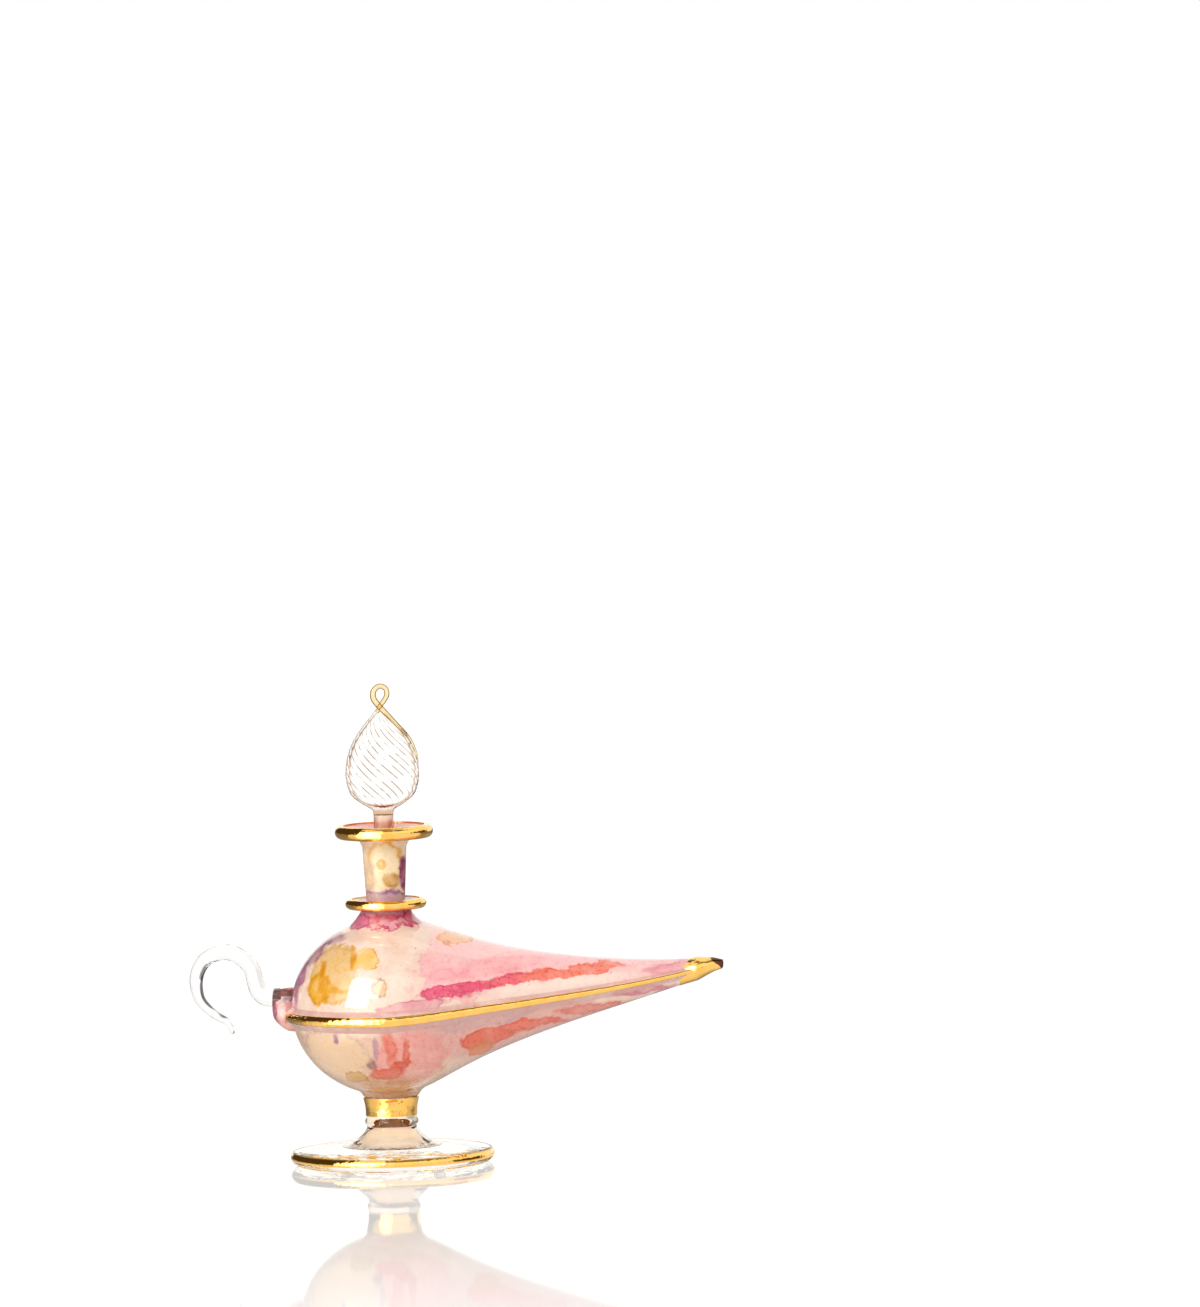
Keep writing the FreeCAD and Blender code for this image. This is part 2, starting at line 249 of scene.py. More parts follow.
def calc(tree, operation, *values):
    node = addNode(tree, "Math", dict(enumerate(values)), operation=operation)
    return node.outputs[0]


def vectorCalc(tree, operation, *values):
    node = addNode(tree, "VectorMath", dict(enumerate(values)), operation=operation)
    return node.outputs[0]


def scaled(tree, vector, amount):
    return addNode(tree, "VectorMath", {0: vector, "Scale": amount}, operation="SCALE").outputs[0]


def lengthOf(tree, vector):
    return addNode(tree, "VectorMath", {0: vector}, operation="LENGTH").outputs["Value"]


def splitUp(tree, vector):
    return addNode(tree, "SeparateXYZ", {0: vector}).outputs


def noiseAt(tree, position, scale, detail, roughness=0.5):
    return addNode(tree, "TexNoise", {"Vector": position, "Scale": scale, "Detail": detail,
                                      "Roughness": roughness}).outputs


def ramp(tree, value, low, high, toLow=0.0, toHigh=1.0):
    node = addNode(tree, "MapRange", {"Value": value, "From Min": low, "From Max": high,
                                      "To Min": toLow, "To Max": toHigh}, interpolation_type="SMOOTHSTEP")
    return node.outputs[0]


def colour(code):
    # six hex digits as seen on screen, turned into the linear values that sockets take
    shares = [int(code[i:i + 2], 16) / 255 for i in (0, 2, 4)]
    return tuple(c / 12.92 if c <= 0.04045 else ((c + 0.055) / 1.055) ** 2.4 for c in shares) + (1.0,)


# one pool of ink: torn outline, uneven cover, a darker line where it dried at the edge
inkBlot, take, give = startGroup(
    "inkBlot",
    {"Below": "Color", "Position": "Vector", "Torn": "Float", "Patchy": "Float", "Centre": "Vector",
     "Size": "Vector", "Ink": "Color", "Edge": "Color", "Cover": "Float", "Rim": "Float", "Soft": "Float"},
    {"Color": "Color"})
offset = vectorCalc(inkBlot, "SUBTRACT", take["Position"], take["Centre"])
reach = lengthOf(inkBlot, vectorCalc(inkBlot, "DIVIDE", offset, take["Size"]))
past = calc(inkBlot, "SUBTRACT", calc(inkBlot, "ADD", reach, take["Torn"]), 1.0)
past = calc(inkBlot, "DIVIDE", past, take["Soft"])
uneven = calc(inkBlot, "MULTIPLY", take["Cover"], ramp(inkBlot, take["Patchy"], 0.25, 0.6, 0.62, 1.1))
fill = calc(inkBlot, "MULTIPLY", ramp(inkBlot, past, 1.0, -1.0), uneven)
nearEdge = calc(inkBlot, "ABSOLUTE", calc(inkBlot, "ADD", past, 0.9))
dried = calc(inkBlot, "MULTIPLY", take["Rim"], ramp(inkBlot, take["Patchy"], 0.32, 0.58, 0.1, 1.0))
line = calc(inkBlot, "MULTIPLY", ramp(inkBlot, nearEdge, 1.3, 0.1), dried)
inked = blendColour(inkBlot, fill, take["Below"], take["Ink"])
inkBlot.links.new(blendColour(inkBlot, line, inked, take["Edge"]), give["Color"])

# slow and quick wandering of the ink
inkDrift, take, give = startGroup(
    "inkDrift", {"Position": "Vector", "Seed": "Vector", "Slow": "Float", "Quick": "Float"},
    {"Position": "Vector"})
seeded = vectorCalc(inkDrift, "ADD", take["Position"], take["Seed"])
drifted = take["Position"]
for noiseScale, detail, amount in ((0.13, 2.0, take["Slow"]), (0.62, 3.0, take["Quick"])):
    noise = noiseAt(inkDrift, seeded, noiseScale, detail)["Color"]
    sway = scaled(inkDrift, vectorCalc(inkDrift, "SUBTRACT", noise, (0.5, 0.5, 0.5)), amount)
    drifted = vectorCalc(inkDrift, "ADD", drifted, sway)
inkDrift.links.new(drifted, give["Position"])

# gentle unevenness of hand-worked glass and metal
handRipple, take, give = startGroup(
    "handRipple", {"Position": "Vector", "Scale": "Float", "Strength": "Float"}, {"Normal": "Vector"})
noise = noiseAt(handRipple, take["Position"], take["Scale"], 1.5)["Fac"]
bump = addNode(handRipple, "Bump", {"Height": noise, "Strength": take["Strength"], "Distance": 0.4})
handRipple.links.new(bump.outputs[0], give["Normal"])


def startMaterial(name):
    material = bpy.data.materials.new(name)
    material.use_nodes = True
    tree = material.node_tree
    shader = tree.nodes["Principled BSDF"]
    inMillimetres = scaled(tree, addNode(tree, "TexCoord").outputs["Object"], 1 / mm)
    return material, tree, shader, inMillimetres


def setShader(shader, **values):
    for key, value in values.items():
        shader.inputs[key.replace("_", " ")].default_value = value


def addRipple(tree, shader, position, scale, strength):
    normal = placeGroup(tree, handRipple, Position=position, Scale=scale, Strength=strength)
    tree.links.new(normal.outputs[0], shader.inputs["Normal"])


def thickEdgeAndReflection(tree, below, edgeReflectionCode, start, stop=1.0):
    # glass seen edge on is thicker and looks warmer, and the warm dark room it picks up there is painted in too:
    # partly the glass's own tone, partly painted reflection
    facing = addNode(tree, "LayerWeight", {"Blend": 0.5}).outputs["Facing"]
    return blendColour(tree, ramp(tree, facing, start, stop), below, colour(edgeReflectionCode))


def paintedBendReflection(tree, position, below, reflectionCode, middleX, middleZ, reach):
    # painted reflection: the inner edge of a bent rod gathers the dark side of the room, further out towards its
    # end, and that is painted into the glass here as a dark stroke
    place = splitUp(tree, position)
    across = calc(tree, "SUBTRACT", place["X"], middleX)
    rise = calc(tree, "SUBTRACT", place["Z"], middleZ)
    away = lengthOf(tree, addNode(tree, "CombineXYZ", {0: across, 1: rise}).outputs[0])
    lower = calc(tree, "ADD", ramp(tree, rise, 2.0, -6.0, 0.0, 0.65), ramp(tree, rise, -6.0, -9.0, 0.0, 1.7))
    inward = calc(tree, "SUBTRACT", calc(tree, "ADD", reach, lower), away)
    drawn = calc(tree, "MAXIMUM", ramp(tree, across, -1.4, -3.2), ramp(tree, rise, -4.0, -6.0))
    mask = calc(tree, "MULTIPLY", ramp(tree, inward, 0.0, 0.2), drawn)
    return blendColour(tree, mask, below, colour(reflectionCode))


def clearGlass(name, tintCode, roughness=0.0, ripple=0.03, ior=1.47, edge=None, darkReflection=None):
    material, tree, shader, position = startMaterial(name)
    tintAndReflection = colour(tintCode)
    setShader(shader, Base_Color=tintAndReflection, Roughness=roughness, IOR=ior, Transmission_Weight=1.0)
    # edge: warmer edges, partly the tone of thicker glass, partly painted reflection; darkReflection: a painted dark
    # reflection along a bent rod
    if edge:
        tintAndReflection = thickEdgeAndReflection(tree, tintAndReflection, *edge)
    if darkReflection:
        tintAndReflection = paintedBendReflection(tree, position, tintAndReflection, *darkReflection)
    if edge or darkReflection:
        tree.links.new(tintAndReflection, shader.inputs["Base Color"])
    addRipple(tree, shader, position, 0.22, ripple)
    return material


def brightGold(name, darkFrom=None, slope=0.0):
    material, tree, shader, position = startMaterial(name)
    setShader(shader, Metallic=1.0)
    cloud = noiseAt(tree, position, 0.35, 3.0)["Fac"]
    fired = blendColour(tree, ramp(tree, cloud, 0.35, 0.7), (0.96, 0.58, 0.16, 1), (0.94, 0.52, 0.11, 1))
    if darkFrom:
        # the gold turns dark brown towards the sealed end
        place = splitUp(tree, position)
        sloped = calc(tree, "ADD", place["X"], calc(tree, "MULTIPLY", place["Z"], slope))
        sloped = calc(tree, "ADD", sloped, ramp(tree, cloud, 0.3, 0.7, -0.5, 0.5))
        darkEnd = ramp(tree, sloped, darkFrom, darkFrom + 0.3)
        fired = blendColour(tree, darkEnd, fired, (0.11, 0.045, 0.025, 1))
    tree.links.new(fired, shader.inputs["Base Color"])
    brushed = noiseAt(tree, position, 1.6, 4.0)["Fac"]
    tree.links.new(ramp(tree, brushed, 0.3, 0.75, 0.05, 0.13), shader.inputs["Roughness"])
    addRipple(tree, shader, position, 0.5, 0.04)
    return material


def inkedGlass(name, ground, groundDark, inks, surface, lean=0.0, drift=(3.4, 1.6), torn=0.9, coat=1.0, sheen=0.08):
    # marbled finish: inks is a list of pools laid one over the other; the bowl's list also holds painted shade and
    # the lug's painted highlights
    material, tree, shader, position = startMaterial(name)
    setShader(shader, Coat_Weight=coat, Coat_Roughness=0.02, Coat_IOR=1.5, Specular_IOR_Level=0.12,
              Sheen_Weight=sheen, Sheen_Roughness=0.3, Sheen_Tint=(1.0, 0.98, 0.96, 1.0))
    wander = placeGroup(tree, inkDrift, Position=position, Seed=(7.0, 3.0, 11.0), Slow=drift[0], Quick=drift[1])
    along, across, up = splitUp(tree, wander.outputs[0])
    forward = calc(tree, "MAXIMUM", along, 0.0)
    level = calc(tree, "SUBTRACT", up, calc(tree, "MULTIPLY", forward, lean))
    side = calc(tree, "MULTIPLY", calc(tree, "ABSOLUTE", across), -1.0)
    folded = addNode(tree, "CombineXYZ", {0: along, 1: side, 2: level}).outputs[0]
    fray = noiseAt(tree, position, 0.34, 5.0, 0.62)["Fac"]
    tornEdge = calc(tree, "MULTIPLY", calc(tree, "SUBTRACT", fray, 0.5), torn)
    patchy = noiseAt(tree, position, 0.19, 4.0, 0.6)["Fac"]
    paint = blendColour(tree, ramp(tree, patchy, 0.35, 0.7), colour(ground), colour(groundDark))
    for x, y, z, halfX, halfZ, ink, edge, cover, rim, soft in inks:
        if y is None:
            y = surface(x, z + lean * max(x, 0.0))
        pool = placeGroup(tree, inkBlot, Below=paint, Position=folded, Torn=tornEdge, Patchy=patchy,
                          Centre=(x, y, z), Size=(halfX, 1.3 * max(halfX, halfZ), halfZ), Ink=colour(ink),
                          Edge=colour(edge), Cover=cover, Rim=rim, Soft=soft)
        paint = pool.outputs[0]
    specks = addNode(tree, "TexVoronoi", {"Vector": position, "Scale": 0.55, "Randomness": 1.0})
    rare = addNode(tree, "SeparateColor", {0: specks.outputs["Color"]}).outputs[0]
    dot = ramp(tree, specks.outputs["Distance"], 0.16, 0.08)
    dot = calc(tree, "MULTIPLY", dot, ramp(tree, rare, 0.86, 0.9, 0.0, 0.55))
    paint = blendColour(tree, dot, paint, colour("7A4E6C"))
    grain = noiseAt(tree, position, 0.9, 5.0, 0.65)["Fac"]
    deep = addNode(tree, "HueSaturation", {"Saturation": 1.18, "Value": 0.94, "Color": paint})
    paint = blendColour(tree, ramp(tree, grain, 0.45, 0.7), paint, deep.outputs[0])
    tree.links.new(paint, shader.inputs["Base Color"])
    tree.links.new(ramp(tree, grain, 0.3, 0.7, 0.22, 0.36), shader.inputs["Roughness"])
    addRipple(tree, shader, position, 0.12, 0.05)
    return material


# bowl and spout: half an egg behind the neck, drawn out in front of it
bowlShape = {
    "back": 23.8, "halfHeight": 21.6, "halfWidth": 23.0, "middle": 38.2, "reach": 76.0, "tipHalf": 2.6,
    "shoulder": 16.6, "pinch": 10.7, "pinchHalf": 12.0, "rise": 7.5, "tipLength": 5.6, "tipCurl": 0.9,
    "wall": 1.5, "bore": 4.0, "foot": 16.2, "top": 62.4, "voxel": 0.42, "sag": 0.05, "kick": 0.14,
}


def bezier(t, a, b, c, d):
    s = 1 - t
    return a * s ** 3 + 3 * b * t * s * s + 3 * c * t * t * s + d * t ** 3


def bowlStation(place):
    # from -1 at the back through 0 under the neck to 1 at the end of the spout
    b = bowlShape
    if place <= 0:
        turn = math.radians(90 * (1 + place))
        return -b["back"] * math.cos(turn), b["halfHeight"] * math.sin(turn), b["middle"]
    x = bezier(place, 0, b["shoulder"], b["pinch"], b["reach"])
    half = bezier(place, b["halfHeight"], b["halfHeight"], b["pinchHalf"], b["tipHalf"])
    share = x / b["reach"]
    lift = (1 - b["kick"]) * share + b["kick"] * share ** 6 - b["sag"] * math.sin(math.pi * share)
    return x, half, b["middle"] + b["rise"] * lift


def bowlWide(half):
    return half * bowlShape["halfWidth"] / bowlShape["halfHeight"]


def bowlFront(x, z):
    # depth of the bowl's near side at a place seen from the front
    place = -1.0
    while place < 1.0 and bowlStation(place)[0] < x:
        place += 0.01
    half, middle = bowlStation(min(place, 1.0))[1:]
    level = min(0.98, abs(z - middle) / max(half, 0.1))
    return -bowlWide(half) * math.sqrt(1 - level * level)


def bowlSections(wall, first, last, count):
    sections = []
    for i in range(count + 1):
        place = first + (last - first) * i / count
        x, half, z = bowlStation(place)
        if place < 0:
            x = x * (bowlShape["back"] - wall) / bowlShape["back"]
            half = half * (bowlShape["halfHeight"] - wall) / bowlShape["halfHeight"]
            sections.append((x, z, bowlWide(half), half))
        else:
            sections.append((x, z, bowlWide(half) - wall, half - wall))
    return sections


def buildBowl():
    b = bowlShape
    tipX, tipHalf, tipZ = bowlStation(1.0)
    sections = bowlSections(0.0, -1.0, 1.0, 110)
    for share in (0.2, 0.4, 0.6, 0.8, 0.95, 1.0):
        left = tipHalf * (1 - 0.75 * share)
        sections.append((tipX + b["tipLength"] * share, tipZ + b["tipCurl"] * share ** 1.4, left, left))
    sections.append((sections[-1][0], sections[-1][1], 0, 0))
    bowl = drawOut("bowl", sections, 112)
    shoulder = turnPiece("shoulder", [(0, 54.4)] + smoothRun(
        [(13.0, 54.4), (10.3, 57.1), (7.32, 60.2), (5.9, b["top"])], 6) + [(0, b["top"])])
    fillet = turnPiece("stemFillet", [(0, b["foot"] - 0.1)] + smoothRun(
        [(6.65, b["foot"] - 0.1), (7.29, 17.3), (8.63, 18.7), (9.85, 20.0)], 6) + [(0, 20.0)])
    pickOnly(bowl, shoulder, fillet)
    bpy.ops.object.join()
    useModifier(bowl, "REMESH", mode="VOXEL", voxel_size=b["voxel"] * mm)
    useModifier(bowl, "SMOOTH", factor=0.5, iterations=16)
    hollow = drawOut("hollow", bowlSections(b["wall"], -1.0, 0.9, 80))
    bore = turnPiece("bore", [(0, b["middle"]), (b["bore"], b["middle"]), (b["bore"], b["top"] + 2),
                              (0, b["top"] + 2)], 48)
    for cutter in (hollow, bore):
        useModifier(bowl, "BOOLEAN", object=cutter, operation="DIFFERENCE", solver="EXACT")
        bpy.data.objects.remove(cutter)
    return bowl


# pools of ink on the bowl, the last one painted shade: x, y (None: on the near side), height, half length,
# half height, ink, dried edge, cover, rim, softness
bowlInksAndShade = [
    # washes over the spout, above and below the trail
    (40.0, None, 45.0, 34.0, 7.0, "F0B8B8", "E59AA0", 0.9, 0.12, 0.10),
    (19.6, None, 47.0, 12.6, 8.0, "F0B4B2", "DE868E", 0.97, 0.4, 0.03),
    (22.0, None, 52.5, 14.0, 6.5, "F3C3BE", "E79CA0", 0.9, 0.3, 0.06),
    (16.0, 0.0, 58.5, 11.0, 3.4, "F4CBBE", "E6A098", 0.8, 0.2, 0.10),
    (26.0, None, 46.5, 13.0, 2.2, "F2A6A6", "E48490", 0.55, 0.3, 0.3),
    (15.0, None, 46.4, 5.6, 1.6, "F2A8AA", "E27888", 0.5, 0.25, 0.3),
    (12.0, None, 24.0, 46.0, 13.0, "D8AF98", "C4947E", 0.8, 0.1, 0.10),
    (30.0, None, 31.0, 30.0, 6.4, "DDA49C", "CC8C90", 0.8, 0.2, 0.14),
    (20.0, None, 34.6, 17.0, 2.6, "CFA49E", "B88890", 0.8, 0.3, 0.2),
    (6.0, None, 33.4, 8.0, 2.6, "DCA69E", "C68488", 0.75, 0.3, 0.2),
    (5.5, None, 26.5, 9.4, 7.6, "E39C92", "D27E78", 0.85, 0.25, 0.14),
    # behind the neck
    (-13.5, None, 27.5, 10.0, 8.2, "DDBC98", "9A7484", 0.85, 0.45, 0.08),
    (-3.4, None, 29.6, 0.7, 3.2, "B08494", "8E5C7C", 0.5, 0.5, 0.5),
    (-4.4, None, 25.6, 1.1, 1.4, "9A6A60", "7C4A50", 0.6, 0.5, 0.5),
    (-12.6, None, 32.6, 0.8, 1.4, "9C5A8A", "7A3A6A", 0.7, 0.5, 0.5),
    (-13.4, None, 48.2, 6.6, 7.6, "DDB478", "C08C40", 0.9, 0.5, 0.08),
    (-16.6, None, 44.8, 3.2, 3.8, "E0A426", "C07A04", 0.85, 0.7, 0.2),
    (-15.6, None, 47.5, 0.8, 4.4, "D88E10", "B87000", 0.9, 0.5, 0.6),
    (-13.2, None, 44.4, 3.4, 0.9, "E0A02C", "C47C0A", 0.85, 0.5, 0.6),
    (-5.0, None, 51.6, 4.0, 3.0, "E8B864", "D08C20", 0.9, 0.9, 0.10),
    (-8.2, None, 52.2, 0.8, 2.8, "D9962A", "C47E12", 0.8, 0.5, 0.5),
    (-1.6, None, 45.3, 1.9, 2.3, "DDB284", "A6806C", 0.8, 0.7, 0.12),
    (-18.0, -3.0, 52.4, 4.8, 3.2, "A66C80", "7C4462", 0.85, 0.5, 0.2),
    (-21.4, -4.0, 47.2, 2.4, 4.2, "B0628E", "7E3868", 0.8, 0.5, 0.25),
    (-12.0, -4.0, 55.8, 4.0, 1.6, "AE7488", "86506C", 0.7, 0.5, 0.3),
    (-22.6, -4.0, 41.0, 1.8, 4.0, "C8849C", "9C4C78", 0.7, 0.4, 0.3),
    # shoulder under the collar
    (0.6, 0.0, 61.4, 10.2, 5.0, "DA9AA6", "BE2C58", 0.95, 0.95, 0.07),
    (-6.2, -4.0, 59.6, 3.2, 2.0, "CA7090", "A8245C", 0.85, 0.7, 0.12),
    (6.4, -4.0, 60.0, 3.4, 2.0, "D46C8A", "B02450", 0.8, 0.7, 0.12),
    (0.2, -6.0, 60.4, 4.6, 0.7, "D0485C", "B83048", 0.75, 0.4, 0.5),
    # streaks along the spout
    (7.0, None, 39.9, 8.6, 1.7, "DC9AA0", "C25C78", 0.85, 0.6, 0.12),
    (16.0, None, 42.2, 8.6, 1.7, "DE5676", "BE2C56", 0.95, 0.6, 0.12),
    (22.0, None, 41.8, 6.0, 1.9, "DC4468", "B82450", 0.9, 0.6, 0.14),
    (32.0, None, 42.6, 9.0, 1.5, "DE5C68", "C23C50", 0.9, 0.6, 0.16),
    (46.0, None, 43.2, 13.0, 1.5, "EA806A", "D65A4C", 0.9, 0.6, 0.16),
    (40.0, None, 40.2, 19.0, 1.7, "EBD2C4", "D9AFAE", 0.95, 0.2, 0.14),
    (17.0, None, 53.8, 5.4, 1.7, "F0BA8C", "E0855A", 0.9, 0.9, 0.10),
    # streaks under the trail
    (0.4, None, 30.0, 1.6, 4.0, "DE7A66", "CC5844", 0.8, 0.4, 0.4),
    (4.2, None, 28.0, 0.9, 3.6, "DA6A50", "C04634", 0.85, 0.6, 0.4),
    (2.4, None, 25.2, 2.2, 1.6, "D4604A", "BC4230", 0.85, 0.5, 0.3),
    (-0.4, None, 23.6, 4.4, 1.7, "D8604A", "BE4230", 0.9, 0.6, 0.16),
    (-8.2, None, 22.6, 3.4, 2.2, "C79A48", "9C6E24", 0.9, 0.9, 0.12),
    (24.0, None, 29.6, 7.6, 2.5, "DE6A4E", "C04428", 0.95, 0.6, 0.12),
    (22.4, None, 26.8, 3.2, 2.8, "D47A44", "BC5A28", 0.9, 0.5, 0.2),
    (34.0, None, 31.4, 9.0, 1.3, "E07460", "C85444", 0.9, 0.6, 0.2),
    (50.0, None, 33.8, 9.0, 1.3, "DE8878", "C46058", 0.85, 0.5, 0.25),
    (62.0, None, 36.8, 8.0, 1.1, "D88C96", "B8607E", 0.8, 0.5, 0.3),
    (62.0, None, 42.0, 6.0, 1.6, "EFC6BE", "D89A9C", 0.8, 0.3, 0.2),
    (70.0, None, 41.2, 7.0, 1.4, "E09AA0", "C06C80", 0.8, 0.3, 0.3),
    # low on the bowl, darker towards the stem: painted shade under the bowl
    (0.0, 0.0, 14.6, 17.0, 9.5, "B88254", "9A6A40", 0.85, 0.1, 0.45),
]
print("bowl shape and inks set,", len(bowlInksAndShade), "pools")

gold = brightGold("brightGold")
# warm edges on the rod and the strand: partly thicker glass, partly painted reflection
rodGlass = clearGlass("rodGlass", "F4ECE2", ior=1.3, edge=("8C7A62", 0.2, 0.9))
stemGlass = clearGlass("stemGlass", "F8E8D6", ior=1.24)
discGlass = clearGlass("discGlass", "FDFBF8", ior=1.07)
strandGlass = clearGlass("strandGlass", "FBE6B0", ripple=0.05, ior=1.14, edge=("7A4606", 0.1, 0.45))
groundGlass = clearGlass("groundGlass", "F5D9C0", roughness=0.3, ripple=0.05)
bowlGround = ("EBD1C0", "E4C2AE")
spoutLean = 0.072  # streaks climb with the spout
bowlPaintAndShade = inkedGlass("bowlPaintAndShade", *bowlGround, bowlInksAndShade, bowlFront, lean=spoutLean)

bowlPiece = buildBowl()
finishPiece(bowlPiece, bowlPaintAndShade, "bottle", "bowl")
print("bowl:", len(bowlPiece.data.polygons), "faces")

# shoulder wash is part of the bowl's paint; the neck has its own small pools
neckInks = [
    (0.0, 0.0, 82.6, 14.0, 3.2, "E08078", "C85C60", 0.9, 0.3, 0.16),
    (-0.2, None, 73.4, 4.7, 6.0, "DDA848", "CC8C24", 0.85, 0.4, 0.12),
    (-0.3, None, 72.8, 4.2, 5.5, "F0DAB4", "E0B468", 0.97, 0.3, 0.10),
    (-0.9, None, 73.4, 1.1, 1.3, "E0B468", "CE9C48", 0.7, 0.6, 0.35),
    (1.6, None, 69.6, 2.2, 1.8, "C08A3C", "9A682A", 0.8, 0.6, 0.3),
    (-3.8, None, 70.5, 1.6, 4.0, "D8B894", "B89890", 0.6, 0.5, 0.35),
    (4.6, -2.4, 71.4, 1.2, 4.0, "8C2E62", "64204A", 0.95, 0.4, 0.3),
    (0.0, 0.0, 63.2, 7.0, 4.6, "BE98A0", "8C5A7C", 0.85, 0.9, 0.10),
]
neckRadius = 5.0  # where the pools lie


def neckFront(x, z):
    return -math.sqrt(max(0.2, neckRadius ** 2 - x * x))


neckPaint = inkedGlass("neckPaint", "F0D8BC", "E4C4A8", neckInks, neckFront,
                       drift=(1.8, 1.0), torn=0.7, coat=0.35, sheen=0.0)

# foot: a flared disc, then a cone and a short stem with a bead
footShape = {"rim": 24.75, "edge": 3.4, "cone": 10.4, "stem": 6.05, "stemFoot": 8.6, "waist": 11.7, "top": 16.2,
             "hollowTop": 10.5}
footHollow = [(2.6, 10.3), (4.5, 9.4), (5.2, 8.3), (6.9, 6.3), (9.4, 4.6), (12.0, 4.22)]


def buildFoot():
    f = footShape
    rim, edge, stem = f["rim"], f["edge"], f["stem"]
    rolled = smoothRun([(rim - 0.4 * edge, 0.0), (rim - 0.1 * edge, 0.2 * edge), (rim, 0.5 * edge),
                        (rim - 0.1 * edge, 0.8 * edge), (rim - 0.4 * edge, edge), (1.35 * f["cone"], 4.1),
                        (f["cone"] - 0.6, 4.6)], 5)
    disc = turnPiece("footDisc", [(0, 0)] + rolled + [(0, 4.6)], 128)
    finishPiece(disc, discGlass, "bottle", "foot")
    rise = smoothRun([(f["cone"] + 1.8, 4.3), (f["cone"] - 0.4, 4.95), (7.9, 6.65), (stem + 0.05, f["stemFoot"]),
                      (stem + 0.5, 10.15), (stem, f["waist"]), (stem + 0.12, 13.95), (stem + 0.6, f["top"])], 8)
    cone = turnPiece("footStem", [(0, f["hollowTop"])] + smoothRun(footHollow, 6) + rise + [(0, f["top"])])
    finishPiece(cone, stemGlass, "bottle", "foot")


buildFoot()

# fired gold on rolled edges: ring radius, middle height, glass edge radius, from and to angle
goldEdges = {"film": 0.25, "sink": 0.12,
             "lipGilding": (10.35, 81.25, 1.4, -72, 104, "lip_gilding"),
             "collarGilding": (8.65, 63.65, 1.0, -95, 108, "collar_gilding")}


def buildEdgeFilm(name):
    ringRadius, middle, glass, start, stop, node = goldEdges[name]
    outline = []
    for reach, span in ((glass + goldEdges["film"], range(25)), (glass - goldEdges["sink"], range(24, -1, -1))):
        for i in span:
            a = math.radians(start + (stop - start) * i / 24)
            outline.append((ringRadius + reach * math.cos(a), middle + reach * math.sin(a)))
    film = turnPiece(name, outline, 128, ring=True)
    finishPiece(film, gold, "bottle", node)


for name in ("lipGilding", "collarGilding"):
    buildEdgeFilm(name)


def buildRimFilm():
    rim, edge, film = footShape["rim"] - 0.01, footShape["edge"], goldEdges["film"]
    outer = smoothRun([(rim + film - 0.03 * edge, 0.4 * edge), (rim + film, 0.54 * edge),
                       (rim + film - 0.05 * edge, 0.74 * edge), (rim + film - 0.2 * edge, 0.95 * edge)], 6)
    inner = [(r - 0.38, z - 0.12 * k / len(outer)) for k, (r, z) in enumerate(outer)]
    piece = turnPiece("footGilding", outer + inner[::-1], 160, ring=True)
    finishPiece(piece, gold, "bottle", "foot_gilding")


buildRimFilm()


def buildStemBand():
    stem, film = footShape["stem"], goldEdges["film"]
    line = smoothRun([(stem, footShape["waist"]), (stem + 0.12, 13.95), (stem + 0.6, footShape["top"])], 8)
    outer = [(r + film, z) for r, z in line]
    inner = [(r - 0.08, z) for r, z in line]
    piece = turnPiece("stemGilding", outer + inner[::-1], ring=True)
    finishPiece(piece, gold, "bottle", "stem_gilding")


buildStemBand()

# neck with the bore, flared lip on top, collar ring at its foot
neckShape = {"foot": 62.1, "footRadius": 4.6, "topRadius": 5.4, "top": 77.6, "bore": 2.27, "mouth": 2.52,
             "plugFoot": 68.9, "lipRing": 10.35, "lipMiddle": 81.25, "lipGlass": 1.4, "lipTop": 82.9, "dish": 1.0}


def rolledEdge(ringRadius, middle, glass, start):
    return [(ringRadius + glass * math.cos(math.radians(a)), middle + glass * math.sin(math.radians(a)))
            for a in range(start, 91, 10)]


def buildNeck():
    n = neckShape
    ringRadius, glass, middle = n["lipRing"], n["lipGlass"], n["lipMiddle"]
    tube = [(n["footRadius"] + (n["topRadius"] - n["footRadius"]) * k / 10,
             n["foot"] + (n["top"] - n["foot"]) * k / 10) for k in range(10)]
    under = smoothRun([(n["topRadius"], n["top"]), (n["topRadius"] + 1.0, middle - 2.05),
                       (0.55 * (n["topRadius"] + ringRadius), middle - glass - 0.05),
                       (ringRadius, middle - glass)], 6)
    edge = rolledEdge(ringRadius, middle, glass, -80)
    dish = smoothRun([(ringRadius, middle + glass),
                      (0.5 * (n["mouth"] + ringRadius), n["lipTop"] - 0.75 * n["dish"]),
                      (n["mouth"], n["lipTop"] - n["dish"] - 0.25)], 6)
    bore = [(n["bore"], n["plugFoot"]), (n["bore"], n["foot"])]
    neck = turnPiece("neckTube", tube + under + edge + dish[1:] + bore, 128, ring=True)
    finishPiece(neck, neckPaint, "bottle", "neck_tube")


buildNeck()


def buildCollar():
    ringRadius, middle, glass = goldEdges["collarGilding"][:3]
    edge = rolledEdge(ringRadius, middle, glass, -90)
    outline = [(4.3, 62.35), (5.9, 62.35), (5.95, middle - glass)] + edge + [(4.3, middle + glass)]
    collar = turnPiece("collarRing", outline, ring=True)
    finishPiece(collar, neckPaint, "bottle", "collar_ring")


buildCollar()
print("foot, neck, collar and their gilding built")

